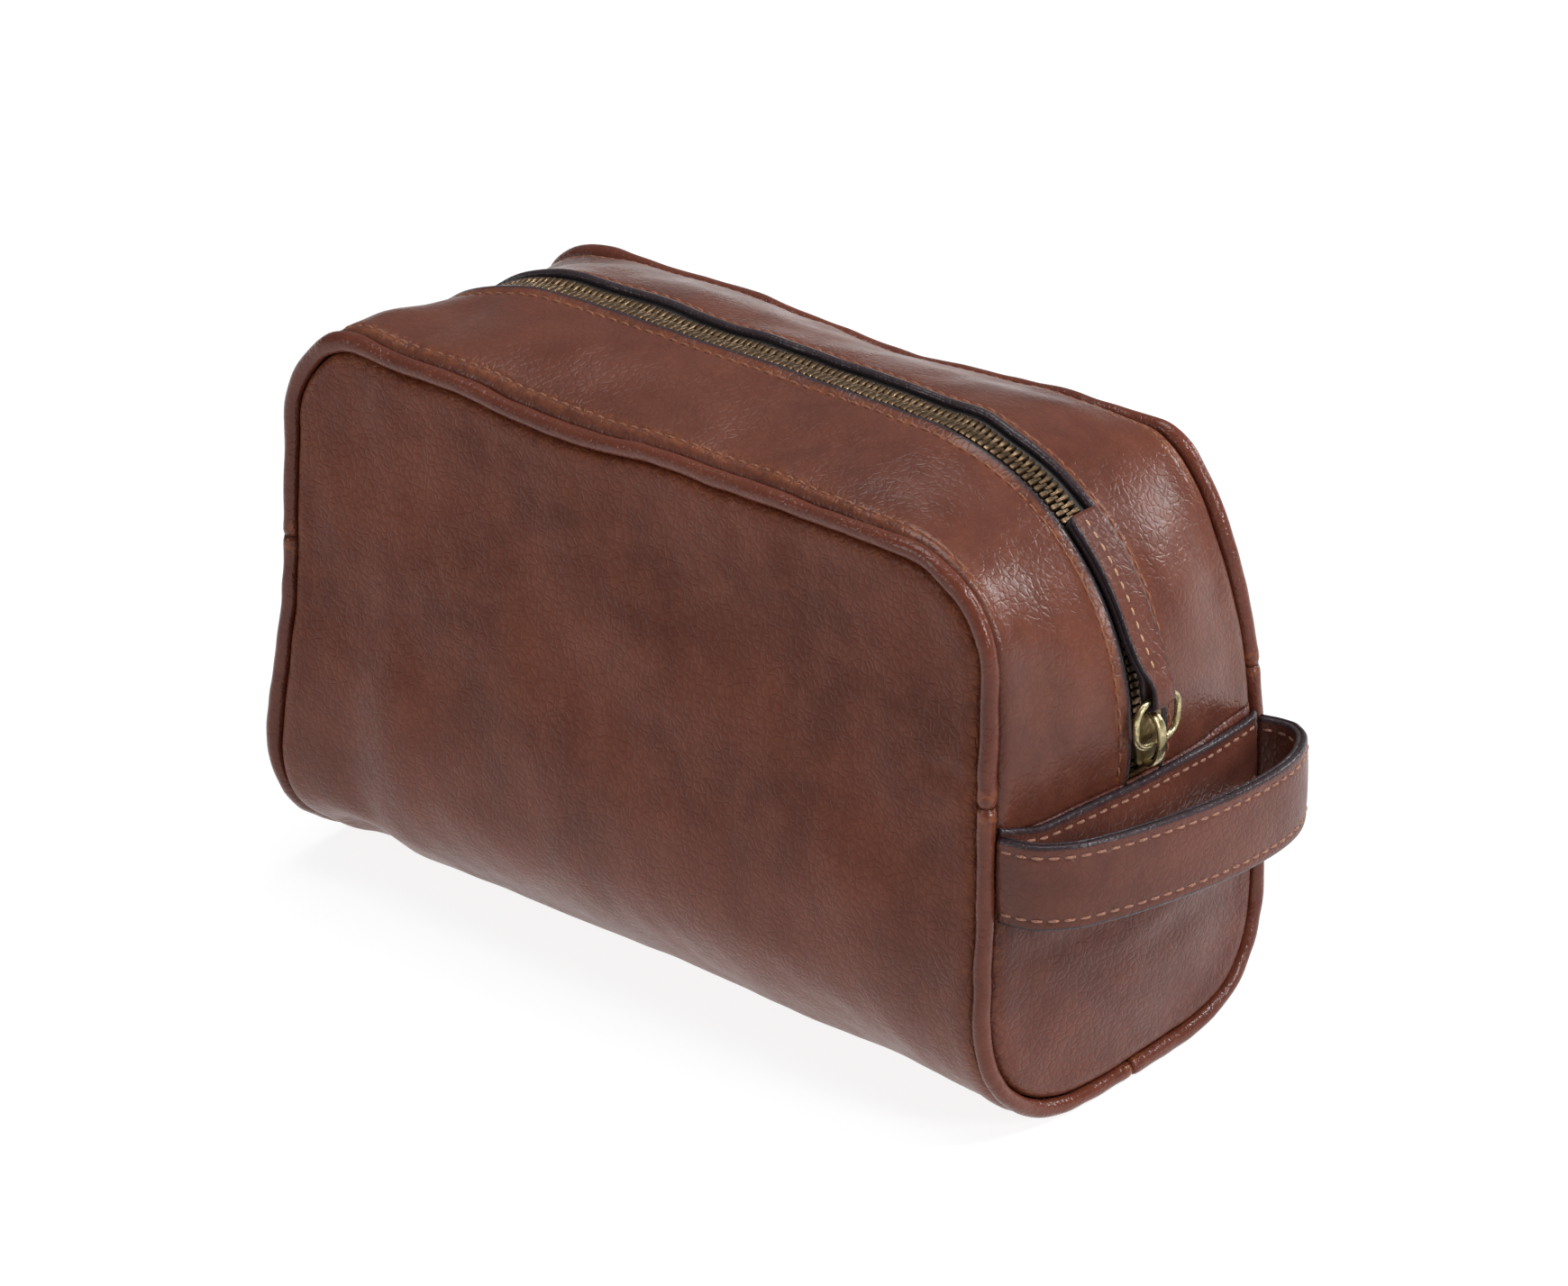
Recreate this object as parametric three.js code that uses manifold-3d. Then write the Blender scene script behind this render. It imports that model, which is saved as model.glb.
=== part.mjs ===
import * as THREE from 'three';
import { mergeVertices } from 'three/addons/utils/BufferGeometryUtils.js';
import Module from 'manifold-3d';

// A leather wash bag, in millimetres. X runs along the bag with the handle at +X, -Y is the front, Z is up.
// The origin is on the ground, under the middle of the flat bottom.
//
// One piece of leather makes the front, the bottom and the back. A band closes it: a panel up each end, and
// over the top two strips with the zip between them. A single piped seam runs round each side of that band,
// so the seam line is what every panel is drawn from.

// The seam line.
const seamBottom = 2.6;
const seamTop = 153;
const halfLengthBase = 122;
const halfLengthTop = 117.5;
const halfDepthBase = 57.5;
const halfDepthTop = 46.5;
const bottomRadius = 38;
const archRadius = 28;
const pipingJointHeight = 95;

// The band over the ends and the top.
const crownTop = 163.1;
const shoulderRadius = 64;
const shoulderX = 61.5;
const shoulderZ = crownTop - shoulderRadius;
const zipEndHeight = 88;
const endPanelTop = 86;
const endBulge = 6.5;
const endBulgeHeight = 62;
const endBulgeReach = 57;

// Materials, and how far the leather stands proud of the seam line.
const gap = 0.3;
const leather = 1.4;
const leatherProud = 1.2;
const cloth = 0.6;
const boardThickness = 1.5;
const boardHalfLength = 112;
const boardHalfWidth = 18;
const pipingRadius = 2.3;
const pipingBore = 1.5;
const cordRadius = 1.15;
const seamInset = pipingRadius + 0.4;
const liningInset = 6;

// The zip, measured out from the middle of its slot.
const toothInner = 0.7;
const toothOuter = 3.8;
const toothBelow = -2;
const toothAbove = 0.7;
const gussetZipEdge = 5.6;
const tapeOuter = 14;
const liningZipEdge = 8;
const stopLength = 1.2;

// The slider rides on the shoulder arc; its angle is counted up from level.
const sliderAngle = -2.5;
const sliderHalfAngle = 6.3;
const sliderHalfWidth = 5.2;
const sliderPlate = 1.2;
const sliderFlange = 0.8;
const neckHalfWidth = 0.4;
const neckHalfAngle = 2.5;
const ringWire = 1;
const ringHalfWidth = 8;
const ringHalfLength = 6.25;
const ringSquareness = 3;
const ringHeight = 4.4;
const crownWidth = 2.8;
const crownWall = 1.2;
const tabHalfWidth = 5;
const tabThickness = 3.2;
const tabHeight = 3.2;
const tabAngle = 40;
const tabEyeHalfWidth = 3.5;
const tabEyeBore = 1.35;
const tabEyeRadius = 2.7;

// The handle: a strap of two layers and a core, sewn into the seam at both sides of the right end.
const handleHeight = 75.5;
const handleWidth = 23;
const handleStrap = 1.2;
const handleCore = 0.6;
const handleRoute = [
  [131.2, -49.2], [135.6, -45.9], [141, -38], [145.8, -22], [148.6, 0],
  [148.2, 22], [145.2, 38], [139.5, 48.6], [134, 52.5], [131.2, 53.1],
];
const handleSteps = 27;
const rootX = [122.6, 124.1];
const rootY = [50.4, 51.8];
const backingBottom = 65;
const backingTop = 87.4;
const backingThickness = 1.6;

const wasm = await Module();
wasm.setup();
const { lerp, smoothstep, degToRad } = THREE.MathUtils;

const colours = {
  leather: [0x6e4234, 0.42, 0], trim: [0x64392d, 0.4, 0], brass: [0x8a7448, 0.38, 0.9],
  tape: [0x2b2226, 0.9, 0], lining: [0x8d7a63, 0.95, 0], cord: [0xb9ab93, 0.95, 0], board: [0x5b5148, 0.95, 0],
};
const materials = Object.fromEntries(Object.entries(colours).map(([name, [color, roughness, metalness]]) => [
  name, new THREE.MeshStandardMaterial({ name, color, roughness, metalness }),
]));

const bag = new THREE.Group();

function add(name, geometry, material, parent = bag) {
  const mesh = new THREE.Mesh(geometry, materials[material]);
  mesh.name = name;
  parent.add(mesh);
  return mesh;
}

// Merges shared vertices and turns the faces outwards, whichever way round the piece was drawn.
function facingOut(geometry) {
  geometry.deleteAttribute('normal');
  geometry.deleteAttribute('uv');
  const merged = mergeVertices(geometry);
  const corners = [0, 1, 2].map(() => new THREE.Vector3());
  const index = merged.index.array;
  let volume = 0;
  for (let i = 0; i < index.length; i += 3) {
    corners.forEach((corner, k) => corner.fromBufferAttribute(merged.attributes.position, index[i + k]));
    volume += corners[0].dot(corners[1].cross(corners[2]));
  }
  if (volume < 0) {
    for (let i = 0; i < index.length; i += 3) {
      [index[i], index[i + 1]] = [index[i + 1], index[i]];
    }
  }
  merged.computeVertexNormals();
  return merged;
}

// A closed sheet: place(column, skin, row) gives each corner, with skin 0 inside and 1 outside.
function sheet(columns, rows, place) {
  const box = new THREE.BoxGeometry(1, 1, 1, columns, 1, rows);
  const at = box.attributes.position;
  for (let i = 0; i < at.count; i++) {
    const column = Math.round((at.getX(i) + 0.5) * columns);
    const skin = at.getY(i) > 0 ? 1 : 0;
    const row = Math.round((at.getZ(i) + 0.5) * rows);
    at.setXYZ(i, ...place(column, skin, row));
  }
  return facingOut(box);
}

// A round rod, or with a bore a tube, along a list of points. Across is roughly square to the whole route.
function roundAlong(points, across, radius, bore, sides) {
  const last = points.length - 1;
  const frames = points.map((point, k) => {
    const before = points[Math.max(k - 1, 0)];
    const along = points[Math.min(k + 1, last)].clone().sub(before).normalize();
    const side = across.clone().addScaledVector(along, -across.dot(along)).normalize();
    return { point, side, up: new THREE.Vector3().crossVectors(side, along) };
  });
  let geometry;
  if (bore) {
    const outside = frames.map((_, k) => new THREE.Vector2(radius, k));
    const inside = frames.map((_, k) => new THREE.Vector2(bore, last - k));
    geometry = new THREE.LatheGeometry([...outside, ...inside, outside[0]], sides);
  } else {
    geometry = new THREE.CylinderGeometry(radius, radius, last, sides, last).translate(0, last / 2, 0);
  }
  const at = geometry.attributes.position;
  for (let i = 0; i < at.count; i++) {
    const { point, side, up } = frames[Math.round(at.getY(i))];
    const moved = point.clone().addScaledVector(side, at.getX(i)).addScaledVector(up, at.getZ(i));
    at.setXYZ(i, moved.x, moved.y, moved.z);
  }
  return facingOut(geometry);
}

function manifoldOf(geometry) {
  const vertProperties = new Float32Array(geometry.attributes.position.array);
  const triVerts = new Uint32Array(geometry.index.array);
  return new wasm.Manifold(new wasm.Mesh({ numProp: 3, vertProperties, triVerts }));
}

function joined(...geometries) {
  const mesh = geometries.map(manifoldOf).reduce((whole, next) => whole.add(next)).getMesh();
  const geometry = new THREE.BufferGeometry();
  geometry.setAttribute('position', new THREE.BufferAttribute(mesh.vertProperties, 3));
  geometry.setIndex(new THREE.BufferAttribute(mesh.triVerts, 1));
  geometry.computeVertexNormals();
  return geometry;
}

// The layer that lies under another one, as distances of its two skins from the seam line.
const under = (layer, thickness) => [layer[0] - gap - thickness, layer[0] - gap];
const outerLayer = [leatherProud - leather, leatherProud];
const tapeLayer = under(outerLayer, cloth);
const bandLiningLayer = under(tapeLayer, cloth);
const boardTop = leather + gap + boardThickness;
const wrapLiningOuter = seamBottom - boardTop - gap;

const ends = { right: 1, left: -1 };
const faces = { front: -1, back: 1 };
const heightShare = (z) => (z - seamBottom) / (seamTop - seamBottom);
const halfLengthAt = (z) => lerp(halfLengthBase, halfLengthTop, heightShare(z));
const halfDepthAt = (z) => lerp(halfDepthBase, halfDepthTop, heightShare(z));
const archZ = seamTop - archRadius;
const archX = halfLengthAt(archZ) - archRadius;
const sideStartZ = seamBottom + bottomRadius;

// The back half of the bag's cross-section: flat bottom to t = 1, round corner to t = 2, straight side to 3.
function profile(t) {
  if (t <= 1) return { y: t * (halfDepthBase - bottomRadius), z: seamBottom };
  if (t >= 2) {
    const z = lerp(sideStartZ, seamTop, t - 2);
    return { y: halfDepthAt(z), z };
  }
  const turn = (t - 1) * Math.PI / 2;
  const z = seamBottom + bottomRadius * (1 - Math.cos(turn));
  return { y: halfDepthAt(z) - bottomRadius * (1 - Math.sin(turn)), z };
}

const sideT = (z) => 2 + (z - sideStartZ) / (seamTop - sideStartZ);

function profileOut(t) {
  if (t <= 1) return { y: 0, z: -1 };
  const step = 0.01;
  const low = profile(t - step);
  const high = profile(t + step);
  const length = Math.hypot(high.y - low.y, high.z - low.z);
  return { y: (high.z - low.z) / length, z: (low.y - high.y) / length };
}

const range = (count, from, to) => Array.from({ length: count + 1 }, (_, k) => lerp(from, to, k / count));
const archAngles = range(6, 90, 0).map(degToRad);
const bottomTurns = range(5, 2, 1);

// Rows of the one-piece wrap from the top edge of the front, under the bottom, to the top edge of the back.
function wrapRows(inset) {
  const arch = archAngles.map((angle) => ({
    t: sideT(archZ + (archRadius - inset) * Math.sin(angle)),
    halfLength: archX + (archRadius - inset) * Math.cos(angle),
  }));
  const bottom = bottomTurns.map((t) => ({ t, halfLength: halfLengthAt(profile(t).z) - inset }));
  const half = [...arch, ...bottom];
  return [
    ...half.map((row) => ({ ...row, face: faces.front })),
    ...half.reverse().map((row) => ({ ...row, face: faces.back })),
  ];
}

function wrapSheet(inset, outerAt, thickness) {
  const rows = wrapRows(inset);
  return sheet(1, rows.length - 1, (column, skin, k) => {
    const { t, halfLength, face } = rows[k];
    const on = profile(t);
    const out = profileOut(t);
    const offset = outerAt(t) - (1 - skin) * thickness;
    return [(column * 2 - 1) * halfLength, face * (on.y + out.y * offset), on.z + out.z * offset];
  });
}

// The band is drawn from stations. Each pairs a point on the seam with one on the bag's middle plane, and
// the surface between them is a parabola.
const straightUp = archZ - zipEndHeight;
const quarterArch = archRadius * Math.PI / 2;
const straightTop = archX - shoulderX;
const zipEndAngle = THREE.MathUtils.radToDeg(Math.asin((zipEndHeight - shoulderZ) / shoulderRadius));

function seamAt(share) {
  const along = share * (straightUp + quarterArch + straightTop);
  if (along <= straightUp) return { x: halfLengthAt(zipEndHeight + along), z: zipEndHeight + along, outX: 1, outZ: 0 };
  if (along >= straightUp + quarterArch) {
    return { x: archX - (along - straightUp - quarterArch), z: seamTop, outX: 0, outZ: 1 };
  }
  const angle = (along - straightUp) / archRadius;
  const [outX, outZ] = [Math.cos(angle), Math.sin(angle)];
  return { x: archX + archRadius * outX, z: archZ + archRadius * outZ, outX, outZ };
}

function shoulderMiddle(angle) {
  const [outX, outZ] = [Math.cos(degToRad(angle)), Math.sin(degToRad(angle))];
  return { x: shoulderX + shoulderRadius * outX, z: shoulderZ + shoulderRadius * outZ, outX, outZ };
}

const shoulderStations = range(12, 0, 1).map((share) => ({
  seam: seamAt(share), middle: shoulderMiddle(lerp(zipEndAngle, 90, share)), halfDepth: halfDepthAt(seamAt(share).z),
}));
const topStations = [1, -1].map((end) => {
  const x = end * (shoulderX - gap);
  const up = { outX: 0, outZ: 1 };
  return { seam: { x, z: seamTop, ...up }, middle: { x, z: crownTop, ...up }, halfDepth: halfDepthTop };
});

function endStation(z, halfDepth) {
  const out = { outX: 1, outZ: 0 };
  const bulge = endBulge * (1 - ((z - endBulgeHeight) / endBulgeReach) ** 2);
  const seam = { x: halfLengthAt(z), z, ...out };
  return { seam, middle: { x: seam.x + bulge, z, ...out }, halfDepth };
}

// An end panel's rows: its half depth shrinks with the round bottom corner.
function endStations(inset) {
  const bottom = bottomTurns.map((t) => {
    const turn = (t - 1) * Math.PI / 2;
    const z = seamBottom + bottomRadius - (bottomRadius - inset) * Math.cos(turn);
    return endStation(z, halfDepthAt(z) - bottomRadius + (bottomRadius - inset) * Math.sin(turn) + inset);
  });
  const side = range(2, endPanelTop, sideStartZ).slice(0, 2).map((z) => endStation(z, halfDepthAt(z)));
  return [...side, ...bottom];
}

function onBand({ seam, middle, halfDepth }, y, offset, end) {
  const share = (y / halfDepth) ** 2;
  const mix = (key) => lerp(middle[key], seam[key], share);
  const out = new THREE.Vector2(mix('outX'), mix('outZ')).normalize();
  return [end * (mix('x') + out.x * offset), y, mix('z') + out.y * offset];
}

// A strip of the band: acrossAt(station, column) gives its y at each column.
function bandSheet(stations, columns, layer, end, acrossAt) {
  return sheet(columns, stations.length - 1, (column, skin, k) => (
    onBand(stations[k], acrossAt(stations[k], column / columns), layer[skin], end)
  ));
}

const betweenEdges = (inner, inset, face) => (station, share) => (
  face * lerp(inner, station.halfDepth - inset, share)
);
const betweenFixed = (inner, outer, face) => (station, share) => face * lerp(inner, outer, share);
const fullWidth = (inset) => (station, share) => (2 * share - 1) * (station.halfDepth - inset);

// Body, bottom board and the lining of the body.
function addBody() {
  const proud = (t) => lerp(seamBottom, leatherProud, Math.min(Math.max(t - 1, 0), 1));
  add('body_wrap', wrapSheet(seamInset, proud, leather), 'leather');
  add('lining_wrap', wrapSheet(seamInset + gap, () => wrapLiningOuter, cloth), 'lining');
  const board = new THREE.BoxGeometry(2 * boardHalfLength, 2 * boardHalfWidth, boardThickness);
  add('base_board', facingOut(board), 'board').position.set(0, 0, boardTop - boardThickness / 2);
  for (const [side, end] of Object.entries(ends)) {
    const panel = bandSheet(endStations(seamInset), 6, outerLayer, end, fullWidth(seamInset));
    add(`end_panel_${side}`, panel, 'leather');
    const liningStations = endStations(liningInset);
    add(`lining_end_${side}`, bandSheet(liningStations, 6, under(outerLayer, cloth), end, fullWidth(liningInset)), 'lining');
  }
}

// Everything that lies beside the zip, on the top and on the four shoulders.
function addBesideZip(place, stations, end, face) {
  const toothLayer = [toothBelow, toothAbove];
  const strips = [
    ['gusset', 'leather', 4, outerLayer, betweenEdges(gussetZipEdge, seamInset, face)],
    ['zip_tape', 'tape', 1, tapeLayer, betweenFixed(toothOuter + gap, tapeOuter, face)],
    ['zip_teeth', 'brass', 1, toothLayer, betweenFixed(toothInner, toothOuter, face)],
    ['lining', 'lining', 3, bandLiningLayer, betweenEdges(liningZipEdge, liningInset, face)],
  ];
  for (const [name, material, columns, layer, acrossAt] of strips) {
    add(`${name}_${place}`, bandSheet(stations, columns, layer, end, acrossAt), material);
  }
}

function addPiping() {
  const jointAt = (shift) => pipingJointHeight + shift * gap / 2;
  for (const [faceName, face] of Object.entries(faces)) {
    const onSeam = (x, z) => new THREE.Vector3(x, face * halfDepthAt(z), z);
    const rise = [
      onSeam(halfLengthAt(jointAt(1)), jointAt(1)),
      ...archAngles.toReversed().map((angle) => (
        onSeam(archX + archRadius * Math.cos(angle), archZ + archRadius * Math.sin(angle))
      )),
    ];
    const fall = rise.toReversed().map((point) => new THREE.Vector3(-point.x, point.y, point.z));
    addPipedRoute(`${faceName}_arch`, [...rise, ...fall], new THREE.Vector3(0, 1, 0));
    for (const [side, end] of Object.entries(ends)) {
      const route = [sideT(jointAt(-1)), ...bottomTurns].map((t) => {
        const { y, z } = profile(t);
        return new THREE.Vector3(end * halfLengthAt(z), face * y, z);
      });
      route.push(new THREE.Vector3(end * halfLengthBase, face * gap / 2, seamBottom));
      addPipedRoute(`${side}_${faceName}`, route, new THREE.Vector3(1, 0, 0));
    }
  }
}

function addPipedRoute(name, route, across) {
  add(`piping_${name}`, roundAlong(route, across, pipingRadius, pipingBore, 8), 'trim');
  add(`piping_cord_${name}`, roundAlong(route, across, cordRadius, 0, 6), 'cord');
}

// A block bent along the shoulder arc, between two angles and two heights above the zip's surface.
function arcBlock(angles, heights, halfWidths, steps) {
  const [low, high] = halfWidths;
  return sheet(1, steps, (column, skin, k) => {
    const { x, z, outX, outZ } = shoulderMiddle(lerp(angles[0], angles[1], k / steps));
    return [x + outX * heights[skin], column ? high : low, z + outZ * heights[skin]];
  });
}

function addZipStops() {
  const angles = [zipEndAngle - THREE.MathUtils.radToDeg((stopLength + gap) / shoulderRadius), zipEndAngle];
  angles[1] -= THREE.MathUtils.radToDeg(gap / shoulderRadius);
  const stop = arcBlock(angles, [toothBelow, toothAbove], [-toothOuter, toothOuter], 1);
  add('zip_stop_right', stop, 'brass');
  add('zip_stop_left', facingOut(stop.clone().scale(-1, 1, 1)), 'brass');
}

function addSlider() {
  const span = [sliderAngle - sliderHalfAngle, sliderAngle + sliderHalfAngle];
  const neck = [sliderAngle - neckHalfAngle, sliderAngle + neckHalfAngle];
  const wide = [-sliderHalfWidth, sliderHalfWidth];
  const topPlate = [toothAbove + gap, toothAbove + gap + sliderPlate];
  const bottomPlate = [toothBelow - gap - sliderPlate, toothBelow - gap];
  const bite = 0.2;
  const flange = [outerLayer[0], topPlate[0] + bite];
  const flangeIn = sliderHalfWidth - sliderFlange;
  add('slider_body', joined(
    arcBlock(span, topPlate, wide, 4),
    arcBlock(span, bottomPlate, wide, 4),
    arcBlock(neck, [bottomPlate[1] - bite, topPlate[0] + bite], [-neckHalfWidth, neckHalfWidth], 2),
    arcBlock(span, flange, [flangeIn, sliderHalfWidth], 4),
    arcBlock(span, flange, [-sliderHalfWidth, -flangeIn], 4),
  ), 'brass');

  // The crown, the ring and the tab are drawn upright at the slider's pivot and turned with it. In that
  // group X points away from the bag, Y across it and Z up along the zip.
  const pull = new THREE.Group();
  const pivot = shoulderMiddle(sliderAngle);
  pull.position.set(pivot.x + pivot.outX * ringHeight, 0, pivot.z + pivot.outZ * ringHeight);
  pull.rotation.y = -degToRad(sliderAngle);
  bag.add(pull);
  addCrown(pull, topPlate[1]);
  addRing(pull);
  addTab(pull);
}

// The crown is a staple over the ring's wire, with its feet on the slider.
function addCrown(pull, sliderTop) {
  const inside = ringWire + gap;
  const outside = inside + crownWall;
  const foot = sliderTop + gap - ringHeight;
  const outline = new THREE.Shape();
  outline.moveTo(foot, -outside).lineTo(0, -outside);
  outline.absarc(0, 0, outside, -Math.PI / 2, Math.PI / 2, false);
  outline.lineTo(foot, outside).lineTo(foot, inside).lineTo(0, inside);
  outline.absarc(0, 0, inside, Math.PI / 2, -Math.PI / 2, true);
  outline.lineTo(foot, -inside);
  const staple = new THREE.ExtrudeGeometry(outline, { depth: crownWidth, bevelEnabled: false, curveSegments: 5 });
  staple.translate(0, 0, -crownWidth / 2).rotateX(Math.PI / 2);
  add('slider_crown', facingOut(staple), 'brass', pull);
}

// The ring is round wire bent to a rounded oval, standing on the pivot.
function addRing(pull) {
  const torus = new THREE.TorusGeometry(1, 0.1, 8, 28);
  const at = torus.attributes.position;
  const ovalAt = (angle) => {
    const [c, s] = [Math.cos(angle), Math.sin(angle)];
    const size = (Math.abs(c) ** ringSquareness + Math.abs(s) ** ringSquareness) ** (-1 / ringSquareness);
    return new THREE.Vector2(ringHalfWidth * c * size, ringHalfLength * s * size);
  };
  for (let i = 0; i < at.count; i++) {
    const angle = Math.atan2(at.getY(i), at.getX(i));
    const centre = ovalAt(angle);
    const along = ovalAt(angle + 0.01).sub(ovalAt(angle - 0.01)).normalize();
    const outward = (Math.hypot(at.getX(i), at.getY(i)) - 1) * ringWire / 0.1;
    const height = at.getZ(i) * ringWire / 0.1;
    at.setXYZ(i, height, centre.x + along.y * outward, centre.y - along.x * outward + ringHalfLength);
  }
  add('pull_ring', facingOut(torus), 'brass', pull);
}

// The tab is one strip of leather folded through the ring; it lies up along the shoulder.
function addTab(pull) {
  const eye = new THREE.Vector3(0, 0, 2 * ringHalfLength);
  const shell = [
    [tabEyeBore, -tabEyeHalfWidth], [tabEyeRadius, -tabEyeHalfWidth], [tabEyeRadius, tabEyeHalfWidth],
    [tabEyeBore, tabEyeHalfWidth], [tabEyeBore, -tabEyeHalfWidth],
  ].map(([radius, y]) => new THREE.Vector2(radius, y));
  const fold = facingOut(new THREE.LatheGeometry(shell, 16).translate(eye.x, eye.y, eye.z));
  const pivotReach = shoulderRadius + ringHeight;
  const eyeReach = Math.hypot(pivotReach, eye.z);
  const eyeAngle = Math.atan2(eye.z, pivotReach);
  const startAngle = eyeAngle + (tabEyeBore + 0.45) / eyeReach;
  const steps = 10;
  const strap = sheet(1, steps, (column, skin, k) => {
    const angle = lerp(startAngle, startAngle + degToRad(tabAngle), k / steps);
    const settle = smoothstep(k / steps, 0, 0.35);
    const reach = lerp(eyeReach, shoulderRadius + tabHeight, settle) + (skin - 0.5) * tabThickness;
    const halfWidth = lerp(tabEyeHalfWidth, tabHalfWidth, smoothstep(k, 0, 2));
    return [reach * Math.cos(angle) - pivotReach, (2 * column - 1) * halfWidth, reach * Math.sin(angle)];
  });
  add('pull_tab', joined(fold, strap), 'trim', pull);
}

// Each layer of the handle follows the route at its own depth inside the strap's outer face.
function addHandle() {
  const curve = new THREE.CatmullRomCurve3(handleRoute.map(([x, y]) => new THREE.Vector3(x, y, handleHeight)));
  const layers = [['handle_strap', handleStrap, 'trim'], ['handle_core', handleCore, 'cord'], ['handle_lining', handleStrap, 'trim']];
  let depth = 0;
  for (const [name, thickness, material] of layers) {
    const skins = [depth + thickness, depth];
    add(name, sheet(1, handleSteps, (column, skin, k) => {
      const point = curve.getPointAt(k / handleSteps);
      const along = curve.getTangentAt(k / handleSteps);
      const edge = (column - 0.5) * handleWidth;
      return [point.x - along.y * skins[skin], point.y + along.x * skins[skin], point.z + edge];
    }), material);
    depth += thickness + gap;
  }
  for (const [faceName, face] of Object.entries(faces)) {
    const root = new THREE.BoxGeometry(rootX[1] - rootX[0], rootY[1] - rootY[0], handleWidth);
    const mesh = add(`handle_root_${faceName}`, facingOut(root), 'trim');
    mesh.position.set((rootX[0] + rootX[1]) / 2, face * (rootY[0] + rootY[1]) / 2, handleHeight);
  }
}

// A strip across each end hides where the end panel meets the two top strips.
function addEndStrips() {
  const stations = range(3, backingTop, backingBottom).map((z) => endStation(z, halfDepthAt(z)));
  const layer = [leatherProud + 2 * gap, leatherProud + 2 * gap + backingThickness];
  for (const [name, end] of [['handle_backing', ends.right], ['end_strip_left', ends.left]]) {
    add(name, bandSheet(stations, 6, layer, end, fullWidth(seamInset + gap)), 'leather');
  }
}

addBody();
for (const [faceName, face] of Object.entries(faces)) {
  addBesideZip(`top_${faceName}`, topStations, 1, face);
  for (const [side, end] of Object.entries(ends)) {
    addBesideZip(`${side}_${faceName}`, shoulderStations, end, face);
  }
}
addPiping();
addZipStops();
addSlider();
addHandle();
addEndStrips();

export default bag;
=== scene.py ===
"""A leather wash bag with piped seams, a zip over the top, a leather zip pull and a loop handle on one end.

Shapes are worked out in millimetres in the frame of the CAD model (X along the bag with the handle at +X,
-Y the front, Z up, the origin on the floor) and turned into metres when a mesh is made.
"""
import math

import bmesh
import bpy
import numpy as np
from mathutils import Matrix, Vector


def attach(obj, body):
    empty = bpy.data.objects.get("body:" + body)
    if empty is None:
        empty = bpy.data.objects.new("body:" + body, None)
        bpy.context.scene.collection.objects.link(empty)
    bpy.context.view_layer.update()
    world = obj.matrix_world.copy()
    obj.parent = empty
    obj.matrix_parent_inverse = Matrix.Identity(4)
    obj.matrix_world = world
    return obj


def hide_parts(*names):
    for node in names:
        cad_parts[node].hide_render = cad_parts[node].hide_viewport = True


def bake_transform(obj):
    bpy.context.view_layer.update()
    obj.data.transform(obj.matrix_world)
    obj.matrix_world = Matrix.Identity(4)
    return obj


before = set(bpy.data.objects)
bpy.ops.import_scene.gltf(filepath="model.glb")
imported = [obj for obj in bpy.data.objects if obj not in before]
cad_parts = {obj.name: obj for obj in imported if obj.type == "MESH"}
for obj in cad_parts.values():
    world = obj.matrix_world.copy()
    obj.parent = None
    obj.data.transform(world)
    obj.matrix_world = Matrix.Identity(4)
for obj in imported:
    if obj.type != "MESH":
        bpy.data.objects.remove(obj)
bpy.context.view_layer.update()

MM = 0.001
FACES = {"front": -1, "back": 1}
ENDS = {"right": 1, "left": -1}

# The seam line that every panel is drawn from.
SEAM_BOTTOM = 2.6
SEAM_TOP = 153.0
HALF_LENGTH = (122.0, 117.5)
HALF_DEPTH = (57.5, 46.5)
CORNER_RADIUS = 38.0
ARCH_RADIUS = 28.0
PIPING_JOINT = 95.0

# The band over the ends and the top.
CROWN_TOP = 163.1
SHOULDER_RADIUS = 64.0
SHOULDER_X = 61.5
SHOULDER_Z = CROWN_TOP - SHOULDER_RADIUS
ZIP_END = 88.0
END_PANEL_TOP = 86.0
END_BULGE = 6.5
END_BULGE_MIDDLE = 62.0
END_BULGE_REACH = 57.0

# Leather panels: their two skins from the seam line, and how the edge rolls down beside the piping.
LEATHER = 1.4
PROUD = 1.2
EDGE_INSET = 2.5
EDGE_ROLL = 2.4
PIPING_RADIUS = 2.3
PIPING_BORE = 1.5
PIPING_SIDES = 14
FILLER_RADIUS = 1.15
FILLER_SIDES = 10

# The zip, measured from the middle of its slot.
GUSSET_EDGE = 5.6
GUSSET_NOSE = 1.2
ZIP_STITCH_Y = 9.4
SEAM_STITCH = 3.1
TAPE_LINES = (3.3, 3.9, 4.5, 5.4, 7, 10, 14)
TAPE_BEAD = (0.1, 0.25, 0.1, 0, 0, 0, 0)
TOOTH_PITCH = 2.1
SLIDER_ANGLE = -2.5
RING_HEIGHT = 4.4
RING_HALF_WIDTH = 8.0
RING_HALF_LENGTH = 6.25
RING_WIRE = 0.88

HANDLE_HEIGHT = 75.5
HANDLE_WIDTH = 23.0

# The strips sewn across the two ends.
BACKING_BOTTOM = 65.0
BACKING_TALL = 22
BACKING_STITCH = 3.2
BACKING_THICK = 1.7

# The linings: how far inside the seam line they end, how far from the zip's middle the top ones start,
# and the heights of their two skins from the seam line.
LINING_INSET = 8.0
TOP_LINING_START = 8.0
WRAP_LINING = (-0.9, -1.5)
END_LINING = (-0.8, -1.4)
TOP_LINING = (-1.4, -2.0)

# Distances of the mesh lines from a rolled edge, close together where it curves.
EDGE_LINES = (0.0, 0.15, 0.4, 0.8, 1.3, 1.9, 2.6, 3.5, 4.7, 6.2, 8.0)


def lerp(a, b, share):
    return a + (b - a) * share


def smooth(value, start, end):
    """0 before start, 1 after end and an even bend between them."""
    t = np.clip((np.asarray(value, float) - start) / (end - start), 0, 1)
    return t * t * (3 - 2 * t)


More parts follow.
